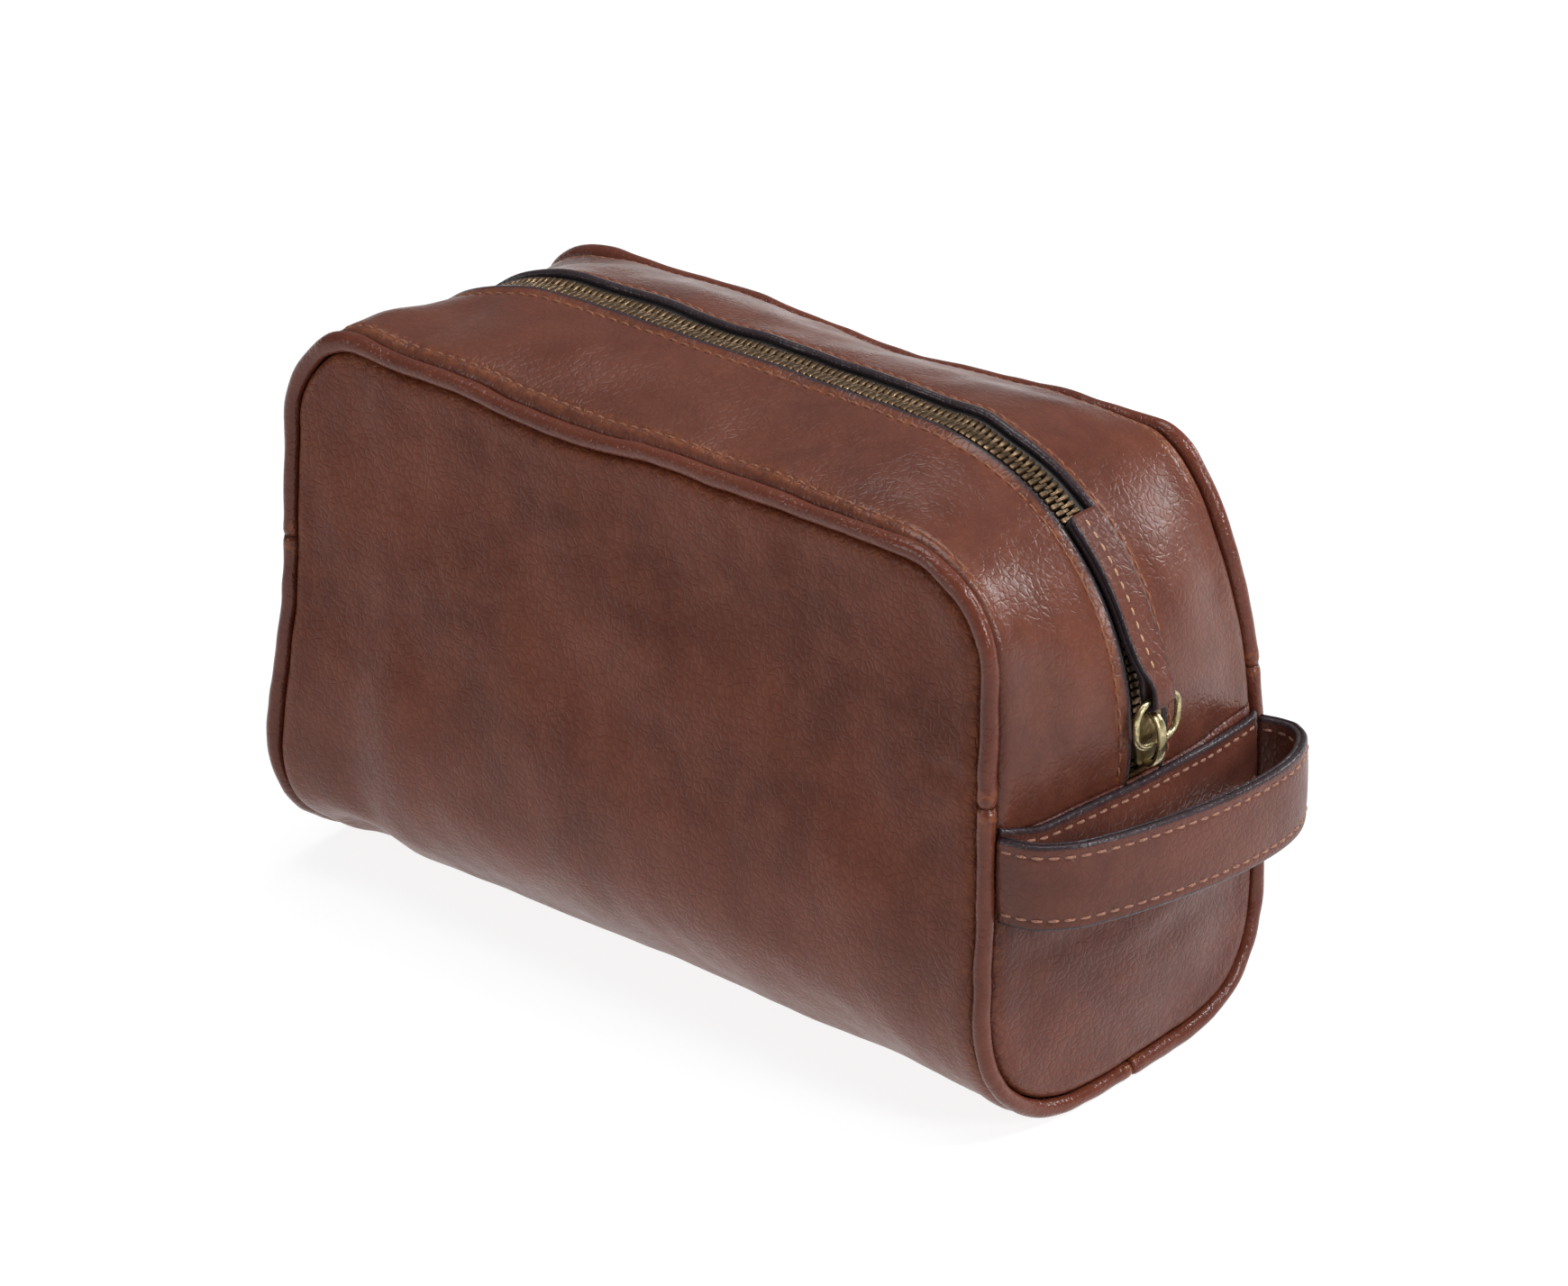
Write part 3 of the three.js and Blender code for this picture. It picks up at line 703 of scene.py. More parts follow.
# The body's hide carries a painted floor reflection: paler and greyer towards the bottom.
HIDE = leather("hide", (82, 39, 26), (103, 51, 35), (121, 67, 47), grain=0.55, shine=0.15, painted_floor_reflection=0.3)
END_HIDE = leather("end_hide", (74, 35, 27), (94, 48, 37), (110, 61, 47), grain=0.5)
TOP_HIDE = leather("top_hide", (80, 42, 32), (100, 55, 42), (118, 68, 51), (0.25, 0.35), 0.26, 0.8, 0.3)
PIPING_HIDE = leather("piping_hide", (82, 39, 29), (98, 49, 36), (110, 58, 43), (0.20, 0.30), 0.3, 0.5, 0.3)
STRAP_HIDE = leather("strap_hide", (78, 42, 34), (96, 54, 43), (112, 67, 52), (0.30, 0.40), 0.4, 0.8)
TAPE = woven("tape_weave", (24, 19, 20), (52, 42, 42), 0.5)
LINING = woven("lining_weave", (120, 100, 78), (166, 145, 116), 0.45, 0.95)
TEETH_BRASS = brass("teeth_brass", (128, 106, 82), (50, 39, 31), 0.34)
SLIDER_BRASS = brass("slider_brass", (156, 136, 96), (70, 58, 42), 0.3)
RING_BRASS = brass("ring_brass", (206, 192, 150), (112, 98, 70), 0.2)
STOP_BRASS = brass("stop_brass", (196, 172, 122), (80, 64, 44), 0.3, on_cad=True)
THREAD = plain_fibre("thread", (112, 72, 58), (172, 130, 110), 2600)
DARK_THREAD = plain_fibre("dark_thread", (98, 58, 42), (146, 96, 72), 2600)
PALE_THREAD = plain_fibre("pale_thread", (150, 112, 84), (196, 160, 128), 2600)
FILLER = plain_fibre("filler", (150, 136, 110), (196, 182, 156), 1400)
STIFFENER = plain_fibre("stiffener", (46, 32, 28), (66, 48, 42), 1400)
BOARD = plain_fibre("board_fibre", (84, 74, 64), (120, 108, 94), 700, stretch=(1, 1, 6), on_cad=True)


# ---- the body

def wrap_offset(t, distance):
    base = lerp(SEAM_BOTTOM, PROUD, np.clip(t - 1, 0, 1))
    return base + rolled(distance, puff=0.35)


def edge_wear(distance):
    return 0.22 * hump(distance, 1.2, 1.4)


def add_body():
    outer, distance = wrap_grid(EDGE_INSET, wrap_offset)
    inner, _ = wrap_grid(EDGE_INSET, lambda t, d: wrap_offset(t, d) - LEATHER)
    outer = soften(outer)
    outer[..., 2] = np.maximum(outer[..., 2], 0.0)
    body = make_piece("body_leather", *slab(outer, soften(inner)), "leather", HIDE, ["body_wrap"],
                      {"wear": skin_marks(edge_wear(distance))})
    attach(body, "bag")
    skins = [wrap_grid(LINING_INSET, lambda t, d: height)[0] for height in WRAP_LINING]
    cloth = make_piece("body_lining", *soft_slab(*skins), "lining", LINING, ["lining_wrap"])
    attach(cloth, "bag")

    for side, end in ENDS.items():
        outer, distance = end_grid(EDGE_INSET, lambda d: PROUD + rolled(d), end)
        inner, _ = end_grid(EDGE_INSET, lambda d: PROUD + rolled(d) - LEATHER, end)
        panel = make_piece(f"end_leather_{side}", *soft_slab(outer, inner), "leather", END_HIDE,
                           [f"end_panel_{side}"], {"wear": skin_marks(edge_wear(distance))})
        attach(panel, "bag")
        skins = [end_grid(LINING_INSET, lambda d: height, end)[0] for height in END_LINING]
        cloth = make_piece(f"end_cloth_{side}", *soft_slab(*skins), "lining", LINING, [f"lining_end_{side}"])
        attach(cloth, "bag")


# ---- the band beside the zip

def blend_lip(piece):
    """Bakes the piece's placement into its mesh, for the pieces beside the zip."""
    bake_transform(piece)


def strip_nodes(kind, face_name):
    return [f"{kind}_{place}_{face_name}" for place in ("top", "right", "left")]


def gusset_section(band, face):
    """The closed section of the leather beside the zip, its folded zip edge thick and painted dark."""
    outer_edge = band.half_depth[:, None] - EDGE_INSET
    nose_y = GUSSET_EDGE + GUSSET_NOSE
    seam_side = outer_edge - np.array((0, 0.15, 0.4, 0.8, 1.3, 1.9, 2.4, 2.8, 3.1, 3.4, 3.8, 4.6, 6, 8))
    zip_side = nose_y + np.array((7.5, 5.6, 4.2, 3.4, 3.0, 2.7, 2.4, 2.1, 1.6, 1.1, 0.7, 0.35, 0))
    middle = lerp(seam_side[:, -1:], zip_side[0], np.linspace(0, 1, 14)[1:-1])
    zip_side = np.broadcast_to(zip_side, (len(outer_edge), len(zip_side)))
    y = np.concatenate([seam_side, middle, zip_side], axis=1)
    distance = outer_edge - y
    outer = PROUD + rolled(distance, 0.3) + (2 * GUSSET_NOSE - LEATHER) * hump(y, nose_y - 0.6, 2.0)
    high = smooth(band.seam[:, 1:], 138, 148)
    outer -= 0.3 * hump(y, ZIP_STITCH_Y, 0.5) + 0.25 * high * hump(distance, SEAM_STITCH, 0.45)
    nose_turn = np.radians((60, 30, 0, -30, -60))
    top, bottom = outer[:, -1:], -0.3
    half = (top - bottom) / 2
    y_nose = nose_y - GUSSET_NOSE * np.cos(nose_turn) + 0 * half
    nose = bottom + half + half * np.sin(nose_turn)
    back = y[:, ::-3]
    inner = PROUD - LEATHER + rolled(outer_edge - back, 0.0) - 0.1 * hump(back, nose_y, 2.0)
    all_y = np.concatenate([y, y_nose, back], axis=1)
    offset = np.concatenate([outer, nose, inner], axis=1)
    painted = smooth(-y, -nose_y - 0.9, -nose_y - 0.2)
    edge = np.concatenate([painted, np.ones_like(nose), np.zeros_like(back)], axis=1)
    worn = 0.4 * high * hump(distance, 2.6, 1.5) + 0.4 * hump(y, nose_y + 2.2, 1.0)
    wear = np.concatenate([worn, np.zeros_like(nose), np.zeros_like(back)], axis=1)
    return band.at(face * all_y, offset), edge, wear


def add_beside_zip(face_name):
    face = FACES[face_name]
    band = Band()
    sections, edge, wear = gusset_section(band, face)
    gusset = make_piece(f"top_leather_{face_name}", *loft(soften(sections)), "leather", TOP_HIDE,
                        strip_nodes("gusset", face_name), {"edge": edge, "wear": wear})
    blend_lip(gusset)

    tape_band = Band(low=0.0)
    y = np.broadcast_to(face * np.array(TAPE_LINES), (len(tape_band.half_depth), len(TAPE_LINES)))
    bead = np.array(TAPE_BEAD)
    skins = tape_band.at(y, -0.5 + bead), tape_band.at(y, -1.1 - bead)
    tape = make_piece(f"tape_{face_name}", *soft_slab(*skins), "zip_tape", TAPE,
                      strip_nodes("zip_tape", face_name))
    blend_lip(tape)

    y = face * lerp(TOP_LINING_START, tape_band.half_depth[:, None] - 6, np.linspace(0, 1, 14))
    skins = [tape_band.at(y, height) for height in TOP_LINING]
    cloth = make_piece(f"top_lining_{face_name}", *soft_slab(*skins), "lining", LINING,
                       strip_nodes("lining", face_name))
    blend_lip(cloth)

    beside_seam = face * (band.half_depth[:, None] - EDGE_INSET - SEAM_STITCH)
    beside_zip = face * np.full_like(beside_seam, ZIP_STITCH_Y)
    rows = []
    for y, height, lowest in ((beside_zip, PROUD - 0.05, ZIP_END + 1), (beside_seam, PROUD + 0.05, 145)):
        shown = band.seam[:, 1] > lowest
        rows.append(stitch_row(band.at(y, height)[shown, 0], band.outward(y)[shown, 0]))
    vertices, faces = together(rows)
    stitches = make_piece(f"top_stitches_{face_name}", soften(vertices), faces, "trim", DARK_THREAD)
    blend_lip(stitches)


# ---- the zip

TOOTH_SECTIONS = (
    (-1.0, 0.30, -0.9, -0.1), (-0.75, 0.48, -1.2, 0.2), (0.9, 0.50, -1.4, 0.3), (1.4, 0.62, -1.7, 0.55),
    (2.0, 0.78, -2.0, 0.7), (3.4, 0.78, -2.0, 0.7), (3.8, 0.62, -1.8, 0.45),
)


def zip_line(spacing):
    """Points along the middle of the zip, their directions along it and outwards."""
    band = Band(low=0.0, per_shoulder=300, over_top=300)
    path = band.at(np.zeros((len(band.half_depth), 1)), 0.0)[:, 0]
    even, _ = resample(path, spacing=spacing)
    along = unit(np.gradient(even, axis=0))
    return even, along, unit(np.cross(along, (0.0, -1.0, 0.0)))


def add_teeth(face_name):
    face = FACES[face_name]
    middles, along, outward = zip_line(TOOTH_PITCH / 2)
    start = 1 if face > 0 else 2
    corners = np.array(((-1, 0.75), (-0.7, 1), (0.7, 1), (1, 0.75),
                        (1, -0.75), (0.7, -1), (-0.7, -1), (-1, -0.75)))
    across = np.array((0.0, face, 0.0))
    shapes = []
    for middle, a, c in zip(middles[start::2], along[start::2], outward[start::2]):
        rings = []
        for reach, half, low, high in TOOTH_SECTIONS:
            heights = (low + high) / 2 + corners[:, 1] * (high - low) / 2
            rings.append(middle + across * reach + np.outer(corners[:, 0] * half, a) + np.outer(heights, c))
        shapes.append(loft(np.array(rings)))
    vertices, faces = together(shapes)
    teeth = make_piece(f"teeth_{face_name}", soften(vertices), faces, "brass", TEETH_BRASS,
                       strip_nodes("zip_teeth", face_name), sharp=40)
    blend_lip(teeth)


# ---- slider, ring and tab

def on_arc(along, y, height):
    """A point along the shoulder from the slider's middle, across the zip and above its surface."""
    angle = SLIDER_ANGLE + np.degrees(np.asarray(along, float) / SHOULDER_RADIUS)
    point, out = shoulder(angle)
    point = point + out * np.asarray(height, float)[..., None]
    point[..., 1] += y
    return point


def slider_half_width(along):
    rounded = 3.7 * np.sqrt(np.clip(1 - (np.clip(-4.0 - along, 0, 3) / 3.05) ** 2, 0, 1))
    width = np.where(along < -4.0, rounded, lerp(3.7, 5.2, smooth(along, -4.0, 2.0)))
    return width - 1.3 * smooth(along, 5.6, 7.0)


def slider_plate(low, high, crown):
    along = np.concatenate([np.linspace(-7, -5.8, 7), np.linspace(-5.5, 5.5, 20), np.linspace(5.8, 7, 5)])
    half = np.maximum(slider_half_width(along), 0.4)
    share = np.sin(np.linspace(-1, 1, 17) * math.pi / 2)
    y = half[:, None] * share
    sag = crown * (abs(share) ** 4)[None, :] + crown * (hump(along, -7, 0.9) + hump(along, 7, 0.9))[:, None]
    along = np.broadcast_to(along[:, None], y.shape)
    outer, inner = high - np.minimum(sag, crown * 1.2), np.full(y.shape, low)
    return slab(on_arc(along, y, outer), on_arc(along, y, inner))


def add_slider():
    shapes = [slider_plate(1.0, 2.3, 0.5), slider_plate(-3.5, -2.3, 0.0)]
    along = np.linspace(-4.2, 6.6, 16)
    half = slider_half_width(along)[:, None]
    for face in FACES.values():
        wall = face * (half - np.array((0.9, 0.45, 0.1, 0.0, 0.0)))
        heights = np.broadcast_to(np.array((1.6, 1.5, 1.2, 0.6, -0.2)), wall.shape)
        step = np.broadcast_to(along[:, None], wall.shape)
        shapes.append(slab(on_arc(step, wall, heights), on_arc(step, wall - face * 0.75, heights)))
    neck = np.linspace(-2.6, 2.6, 6)[:, None] + np.zeros((1, 3))
    across = np.broadcast_to(np.array((-0.4, 0.0, 0.4)), neck.shape)
    shapes.append(slab(*(on_arc(neck, across, np.full(neck.shape, height)) for height in (1.1, -2.4))))
    body = make_piece("slider_shell", *together(shapes), "brass", SLIDER_BRASS, ["slider_body"], sharp=40)
    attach(body, "slider")

    spine = catmull(((-6.3, 0, 1.7), (-6.1, 0, 3.2), (-4.8, 0, 5.0), (-2.2, 0, 6.1), (1.5, 0, 6.35),
                     (4.6, 0, 5.7), (6.6, 0, 4.2), (7.2, 0, 2.6), (7.1, 0, 1.7)), 6)
    direction = unit(np.gradient(spine, axis=0))
    normal = np.stack([-direction[:, 2], direction[:, 0]], axis=1)
    half_width = 1.45 - 0.25 * (1 - smooth(spine[:, 2], 1.7, 4.6))
    ring = np.array(((-1, -0.5), (-1, 0.5), (-0.86, 0.86), (-0.5, 1.05), (0, 1.15), (0.5, 1.05), (0.86, 0.86),
                     (1, 0.5), (1, -0.5), (0.86, -0.9), (-0.86, -0.9)))
    sections = []
    for point, out, half in zip(spine, normal, half_width):
        thick = ring[:, 1] * 0.6
        sections.append(on_arc(point[0] + out[0] * thick, ring[:, 0] * half, point[2] + out[1] * thick))
    # The bridge takes the paler ring brass rather than the slider's own, so it reads lighter than the body it
    # belongs to: a painted highlight.
    bridge = make_piece("slider_bridge", *loft(np.array(sections)), "brass", RING_BRASS, ["slider_crown"],
                        sharp=50)
    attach(bridge, "slider")


PULL_PIVOT, PULL_OUT = shoulder(np.float64(SLIDER_ANGLE))
PULL_PIVOT = PULL_PIVOT + PULL_OUT * RING_HEIGHT
PULL_UP = np.array((-PULL_OUT[2], 0, PULL_OUT[0]))


def in_pull(points):
    """Points given as (away from the bag, across it, up along the zip) from the ring's pivot."""
    points = np.asarray(points, float)
    away, across, up = points[..., :1], points[..., 1:2], points[..., 2:]
    return PULL_PIVOT + away * PULL_OUT + across * np.array((0, 1, 0)) + up * PULL_UP


def add_ring():
    turn = np.linspace(0, 2 * math.pi, 73)[:-1]
    c, s = np.cos(turn), np.sin(turn)
    size = (abs(c) ** 3 + abs(s) ** 3) ** (-1 / 3)
    height = RING_HALF_LENGTH * s * size + RING_HALF_LENGTH
    path = np.stack([0 * turn, RING_HALF_WIDTH * c * size, height], axis=1)
    along = unit(np.roll(path, -1, axis=0) - np.roll(path, 1, axis=0))
    side = np.cross(along, (1.0, 0.0, 0.0))
    around = np.arange(14) * 2 * math.pi / 14
    wire = np.cos(around)[:, None] * side[:, None] + np.sin(around)[:, None] * np.array((1.0, 0, 0))
    sections = in_pull(path[:, None] + wire * RING_WIRE)
    ring = make_piece("ring_wire", *loft(sections, ring=True), "brass", RING_BRASS, ["pull_ring"])
    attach(ring, "pull_ring")


TAB_EYE_Z = 2 * RING_HALF_LENGTH
TAB_STITCH_Y = -1.2
TAB_REACH = SHOULDER_RADIUS + RING_HEIGHT
TAB_LENGTH_ANGLE = 40.0
TAB_HEIGHT = 3.2
TAB_LAYER = 1.55
TAB_FOLD = 2.02
# The section of one layer of the tab: across as a share of its half width, through as a share of its layer.
TAB_SECTION = (
    (-1, -0.35), (-1, 0.35), (-0.97, 0.42), (-0.93, 0.47), (-0.85, 0.5), (-0.72, 0.46), (-0.62, 0.5),
    (-0.3, 0.56), (0, 0.58), (0.3, 0.56), (0.62, 0.5), (0.72, 0.46), (0.85, 0.5), (0.93, 0.47),
    (0.97, 0.42), (1, 0.35), (1, -0.35), (0.97, -0.5), (0, -0.5), (-0.97, -0.5),
)


def tab_line(share):
    """The middle line of the tab past its fold, and the direction outwards there."""
    eye_reach, eye_angle = math.hypot(TAB_REACH, TAB_EYE_Z), math.atan2(TAB_EYE_Z, TAB_REACH)
    end_angle = eye_angle + 1.8 / eye_reach + math.radians(TAB_LENGTH_ANGLE)
    angle = lerp(eye_angle + 2.2 / eye_reach, end_angle, share)
    reach = lerp(eye_reach, SHOULDER_RADIUS + TAB_HEIGHT, smooth(share, 0, 0.35))
    out = np.stack([np.cos(angle), 0 * angle, np.sin(angle)], axis=-1)
    return out * reach[:, None] - np.array((TAB_REACH, 0, 0)), out


def add_tab():
    share = np.linspace(0.0, 1.0, 44)
    middle, out = tab_line(share)
    apart = lerp(TAB_FOLD, TAB_LAYER / 2 + 0.04, smooth(share, 0.0, 0.13))[:, None]
    turn = np.linspace(0, -math.pi, 12)[1:-1]
    angle = turn + math.atan2(out[0, 2], out[0, 0])
    eye = np.array((0, 0, TAB_EYE_Z))
    fold = eye + TAB_FOLD * np.stack([np.cos(angle), 0 * turn, np.sin(angle)], axis=1)
    line = np.concatenate([(middle + out * apart)[::-1], fold, middle - out * apart])
    reach = np.concatenate([share[::-1], 0 * turn, share])
    end_round = np.clip((reach - 0.965) / 0.035, 0, 1) ** 2 * 0.9
    half_width = lerp(3.6, 5.1, smooth(reach, 0.02, 0.2)) - 1.5 * (1 - np.sqrt(1 - end_round))
    direction = unit(np.gradient(line, axis=0))
    normal = np.cross((0.0, 1.0, 0.0), direction)
    ring = np.array(TAB_SECTION)
    sections = line[:, None] - normal[:, None] * (ring[:, 1:] * TAB_LAYER)
    sections[..., 1] = half_width[:, None] * ring[:, 0]
    edge = np.broadcast_to(smooth(abs(ring[:, 0]), 0.84, 0.93), sections.shape[:2])
    tab = make_piece("tab_leather", *loft(in_pull(sections)), "trim", STRAP_HIDE, ["pull_tab"],
                     {"edge": edge})
    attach(tab, "pull_tab")

    run = (share > 0.12) & (share < 0.95)
    path = (middle + out * (apart + TAB_LAYER * 0.53))[run]
    path[:, 1] = TAB_STITCH_Y
    row = stitch_row(in_pull(path), in_pull(path + out[run]) - in_pull(path), 3.4, 2.4, 0.34)
    stitches = make_piece("tab_stitches", *row, "trim", PALE_THREAD)
    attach(stitches, "pull_tab")


# ---- piping

def piping_routes():
    """The three lengths of each piped seam: over the top, and half of the U at each end."""
    routes = {}
    arch = np.radians(np.linspace(0, 90, 30))
    for face_name, face in FACES.items():
        low = PIPING_JOINT + 0.15
        side = np.linspace(low, ARCH_Z, 20)[:-1]
        x = np.concatenate([half_length(side), ARCH_X + ARCH_RADIUS * np.cos(arch)])
        z = np.concatenate([side, ARCH_Z + ARCH_RADIUS * np.sin(arch)])
        rise = np.stack([x, face * half_depth(z), z], axis=1)
        fall = rise[::-1] * np.array((-1, 1, 1))
        routes[f"{face_name}_arch"] = (np.concatenate([rise, fall]), (0, 1, 0))
        for side_name, end in ENDS.items():
            top_t = 2 + (PIPING_JOINT - 0.15 - SIDE_START) / (SEAM_TOP - SIDE_START)
            t = np.concatenate([np.linspace(top_t, 2, 20)[:-1], np.linspace(2, 1, 26)])
            y, z = profile(t)
            low = np.stack([end * half_length(z), face * y, z], axis=1)
            last = np.array([[end * HALF_LENGTH[0], face * 0.15, SEAM_BOTTOM]])
            routes[f"{side_name}_{face_name}"] = (np.concatenate([low, last]), (1, 0, 0))
    return routes


def add_piping():
    for seed, (name, (route, across)) in enumerate(piping_routes().items()):
        path, at = resample(route, spacing=1.5)
        turn = np.arange(PIPING_SIDES) * 2 * math.pi / PIPING_SIDES
        rng = np.random.default_rng(100 + seed)
        radius = np.full((len(path), PIPING_SIDES), PIPING_RADIUS)
        for _ in range(6):
            wavelength, lean = rng.uniform(6, 18), rng.integers(1, 3)
            radius += rng.uniform(0.01, 0.035) * np.sin(
                at[:, None] * 2 * math.pi / wavelength + lean * turn + rng.uniform(0, 6.28))
        from_end = np.minimum(at, at[-1] - at)[:, None]
        radius += 0.1 * hump(from_end, 2.4, 1.6) - 0.3 * hump(from_end, 0, 0.8)
        outside = soften(round_sections(path, across, radius, PIPING_SIDES))
        inside = soften(round_sections(path, across, PIPING_BORE, PIPING_SIDES))
        wear = np.broadcast_to(0.06 + 0.4 * hump(from_end, 2.4, 2.0), radius.shape)
        cover = make_piece(f"piping_cover_{name}", *hose(outside, inside), "trim", PIPING_HIDE,
                           [f"piping_{name}"], {"wear": skin_marks(wear)})
        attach(cover, "bag")
        lay = 1.5 * turn[None, :FILLER_SIDES] * 1.4 + at[:, None] * 0.8
        strands = FILLER_RADIUS * (1 - 0.1 * abs(np.sin(lay)))
        cord = soften(round_sections(path, across, strands, FILLER_SIDES))
        filler = make_piece(f"piping_filler_{name}", *loft(cord), "cord", FILLER, [f"piping_cord_{name}"])
        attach(filler, "bag")


# ---- backing strips and handle

def backing_top(y):
    """The strip's upper edge rises towards the front seam and drops a little towards the back one."""
    return 86.2 + 3.2 * smooth(-y, 36, 52) - 2.2 * smooth(y, 14, 46)


def add_backing(name, node, end):
    near = np.array((0, 0.006, 0.02, 0.045, 0.08, 0.13, 0.18))
    height_share = np.concatenate([near, np.linspace(0.24, 0.76, 8), 1 - near[::-1]])[:, None]
    half = half_depth(76.0) - 3.2
    y = edge_columns(np.full(len(height_share), half), 44)
    z = lerp(BACKING_BOTTOM, backing_top(y), height_share)
    from_edge = np.minimum(height_share, 1 - height_share) * BACKING_TALL
    fall = 0.75 * round_fall(from_edge, 0.9)
    offset = 1.9 + BACKING_THICK - fall - 0.28 * hump(from_edge, BACKING_STITCH, 0.6)
    offset = offset - 0.9 * smooth(abs(y), half - 2.5, half)
    outer = end_surface(y, z, half_depth(z), offset, end)
    inner = end_surface(y, z, half_depth(z), offset - BACKING_THICK + fall * 1.2, end)
    edge = smooth(-np.broadcast_to(from_edge, y.shape), -1.5, -0.8)
    strip = make_piece(name, *soft_slab(outer, inner), "leather", STRAP_HIDE, [node],
                       {"edge": skin_marks(edge, edge)})
    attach(strip, "bag")
    rows = []
    for share in (BACKING_STITCH / BACKING_TALL, 1 - BACKING_STITCH / BACKING_TALL):
        across = np.linspace(-half + 4, half - 4, 80)
        height = lerp(BACKING_BOTTOM, backing_top(across), share)
        path = end_surface(across, height, half_depth(height), 3.45, end)
        rows.append(stitch_row(path, np.broadcast_to((float(end), 0.0, 0.0), path.shape)))
    vertices, faces = together(rows)
    stitches = make_piece(f"{name}_stitches", soften(vertices), faces, "trim", THREAD)
    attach(stitches, "bag")


HANDLE_ROUTE = (
    (122.6, -51.4, 0), (126.6, -50.6, 0), (131.2, -49.2, 0), (135.6, -45.9, 0), (141, -38, 0),
    (145.8, -22, 0), (148.6, 0, 0), (148.2, 22, 0), (145.2, 38, 0), (139.5, 48.6, 0), (134, 52.5, 0),
    (131.2, 53.1, 0), (127, 52.6, 0), (122.6, 51.2, 0),
)


def blend_handle(piece):
    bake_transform(piece)


def add_handle():
    path, at = resample(catmull(HANDLE_ROUTE), count=110)
    along = unit(np.gradient(path, axis=0))
    inward = np.stack([-along[:, 1], along[:, 0], 0 * at], axis=1)
    middle = path + np.array((0, 0, 1.0)) * (HANDLE_HEIGHT - 4.2 * smooth(path[:, 1], -40, 56))[:, None]
    edge_at = np.array((0, 0.25, 0.7, 1.2, 1.8, 2.4, 2.7, 3.0, 3.3, 3.6, 4.4, 6.0, 8.5)) / (HANDLE_WIDTH / 2)
    share = np.concatenate([-1 + edge_at, [0], (1 - edge_at)[::-1]])
    height = share * HANDLE_WIDTH / 2
    from_edge = HANDLE_WIDTH / 2 - abs(height)

    def layer(name, node, skins, material, slot, narrow, groove=0.0, pillow=0.0, side=1):
        sunk = pillow * round_fall(from_edge, 1.4) + groove * hump(from_edge, 3.0, 0.5)
        outer = skins[0] + side * (sunk - 0.25 * smooth(from_edge, 1, 9))
        inner = np.full(share.shape, skins[1])
        upright = height * (1 - narrow / (HANDLE_WIDTH / 2))
        skin_points = [
            middle[:, None] + inward[:, None] * depth[:, None] + np.array((0, 0, 1.0)) * upright[:, None]
            for depth in (outer, inner)
        ]
        edge = np.broadcast_to(smooth(-from_edge, -1.3, -0.55), (len(path), len(share)))
        piece = make_piece(name, *slab(*skin_points), slot, material, node, {"edge": skin_marks(edge, edge)})
        blend_handle(piece)

    layer("handle_outer", ["handle_strap", "handle_root_front", "handle_root_back"], (0.35, 1.75), STRAP_HIDE,
          "trim", 0, 0.25, 0.8)
    layer("handle_filler", ["handle_core"], (1.8, 2.2), STIFFENER, "cord", 0.25)
    layer("handle_inner", ["handle_lining"], (3.5, 2.25), STRAP_HIDE, "trim", 0, 0.2, 0.6, side=-1)
    rows = []
    for depth, direction in ((0.42, -1), (3.42, 1)):
        for side in (-1, 1):
            line = middle + inward * depth + np.array((0, 0, side * (HANDLE_WIDTH / 2 - 3.0)))
            rows.append(stitch_row(line[2:-2], direction * inward[2:-2]))
    stitches = make_piece("handle_stitches", *together(rows), "trim", THREAD)
    blend_handle(stitches)


# ---- camera, light and floor

def add_camera():
    azimuth, elevation, roll = math.radians(42.124), math.radians(25.807), -0.011
    back = Vector((math.sin(azimuth) * math.cos(elevation), -math.cos(azimuth) * math.cos(elevation),
                   math.sin(elevation)))
    right = Vector((math.cos(azimuth), math.sin(azimuth), 0))
    up = back.cross(right)
    turned = Matrix((right, up, back)).transposed() @ Matrix.Rotation(roll, 3, "Z")
    data = bpy.data.cameras.new("camera")
    data.lens = 169.08
    data.sensor_width = 36
    data.clip_start = 0.05
    camera = bpy.data.objects.new("camera", data)
    camera.matrix_world = Matrix.Translation(
        back * 1.880 + right * 0.00602 + up * 0.00372 + Vector((0, 0, 0.0779))) @ turned.to_4x4()
    bpy.context.scene.collection.objects.link(camera)
    bpy.context.scene.camera = camera


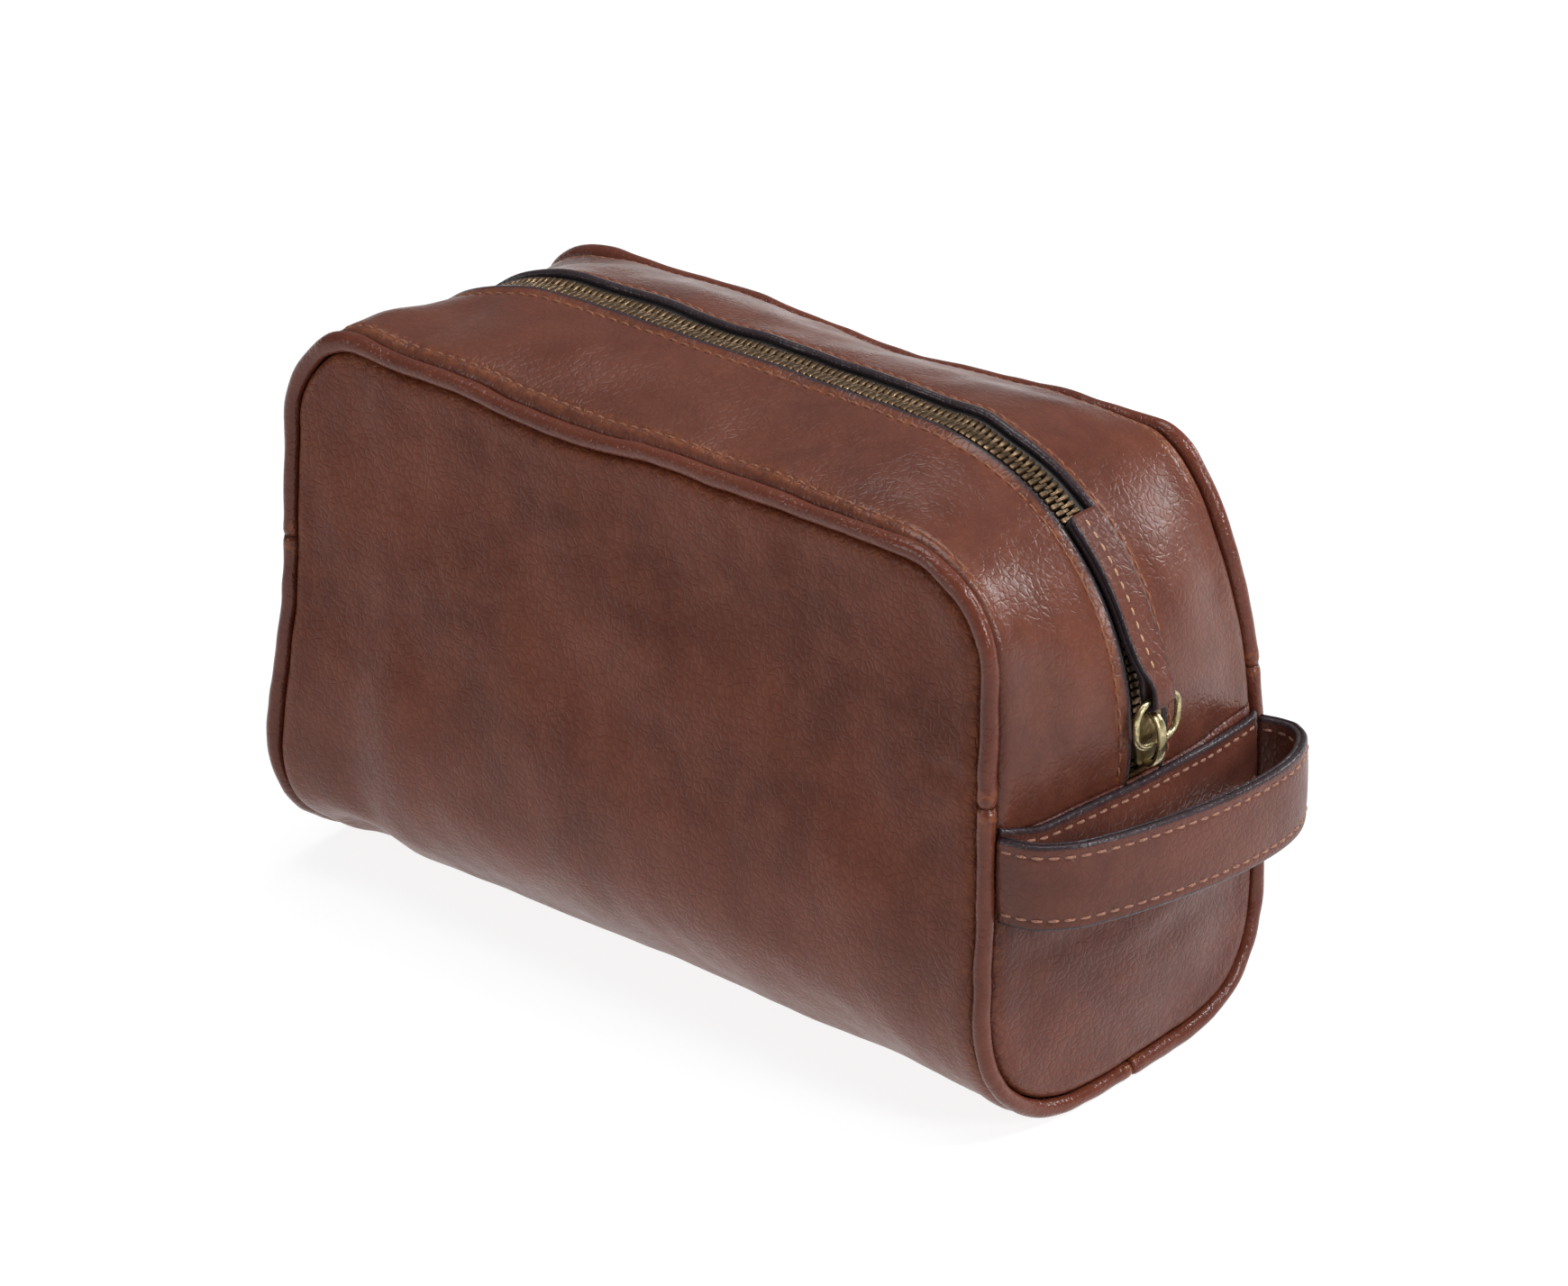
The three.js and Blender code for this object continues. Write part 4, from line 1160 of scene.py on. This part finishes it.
def add_light(name, place, size, power, colour=(1, 1, 1)):
    data = bpy.data.lights.new(name, "AREA")
    data.shape = "RECTANGLE"
    data.size, data.size_y = size
    data.energy = power
    data.color = colour
    light = bpy.data.objects.new(name, data)
    light.location = place
    light.rotation_euler = (Vector((0, 0, 0.08)) - Vector(place)).to_track_quat("-Z", "Y").to_euler()
    bpy.context.scene.collection.objects.link(light)


def add_studio():
    world = bpy.data.worlds.new("studio")
    world.use_nodes = True
    world.node_tree.nodes["Background"].inputs["Color"].default_value = (1, 1, 1, 1)
    world.node_tree.nodes["Background"].inputs["Strength"].default_value = 0.24
    bpy.context.scene.world = world
    add_light("shoulder_light", (0.95, 0.38, 1.30), (0.3, 0.3), 12)
    add_light("end_light", (1.50, 0.05, 0.68), (0.3, 0.4), 10)
    add_light("back_light", (0.45, 1.50, 0.66), (0.6, 0.4), 8)
    add_light("front_fill", (-0.6, -1.7, 0.8), (0.6, 0.6), 6.5)
    add_light("overhead", (-0.3, 0.1, 1.9), (1.2, 0.9), 16)
    floor = bpy.data.meshes.new("floor")
    reach = 30
    floor.from_pydata([(-reach, -reach, 0), (reach, -reach, 0), (reach, reach, 0), (-reach, reach, 0)], [],
                      [(0, 1, 2, 3)])
    material = bpy.data.materials.new("floor_white")
    material.use_nodes = True
    shader = material.node_tree.nodes["Principled BSDF"]
    shader.inputs["Base Color"].default_value = (0.22, 0.22, 0.22, 1)
    shader.inputs["Roughness"].default_value = 0.9
    shader.inputs["Specular IOR Level"].default_value = 0.1
    shader.inputs["Emission Color"].default_value = (1, 1, 1, 1)
    shader.inputs["Emission Strength"].default_value = 0.86
    floor.materials.append(material)
    ground = bpy.data.objects.new("floor", floor)
    bpy.context.scene.collection.objects.link(ground)
    bpy.context.scene.view_settings.view_transform = "Standard"


def give_material(node, material):
    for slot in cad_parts[node].material_slots:
        slot.material = material


add_camera()
add_studio()
add_body()
for face_name in FACES:
    add_beside_zip(face_name)
    add_teeth(face_name)
add_piping()
add_slider()
add_ring()
add_tab()
add_backing("backing_leather", "handle_backing", ENDS["right"])
add_backing("end_strip_leather", "end_strip_left", ENDS["left"])
add_handle()
give_material("base_board", BOARD)
for side in ENDS:
    give_material(f"zip_stop_{side}", STOP_BRASS)
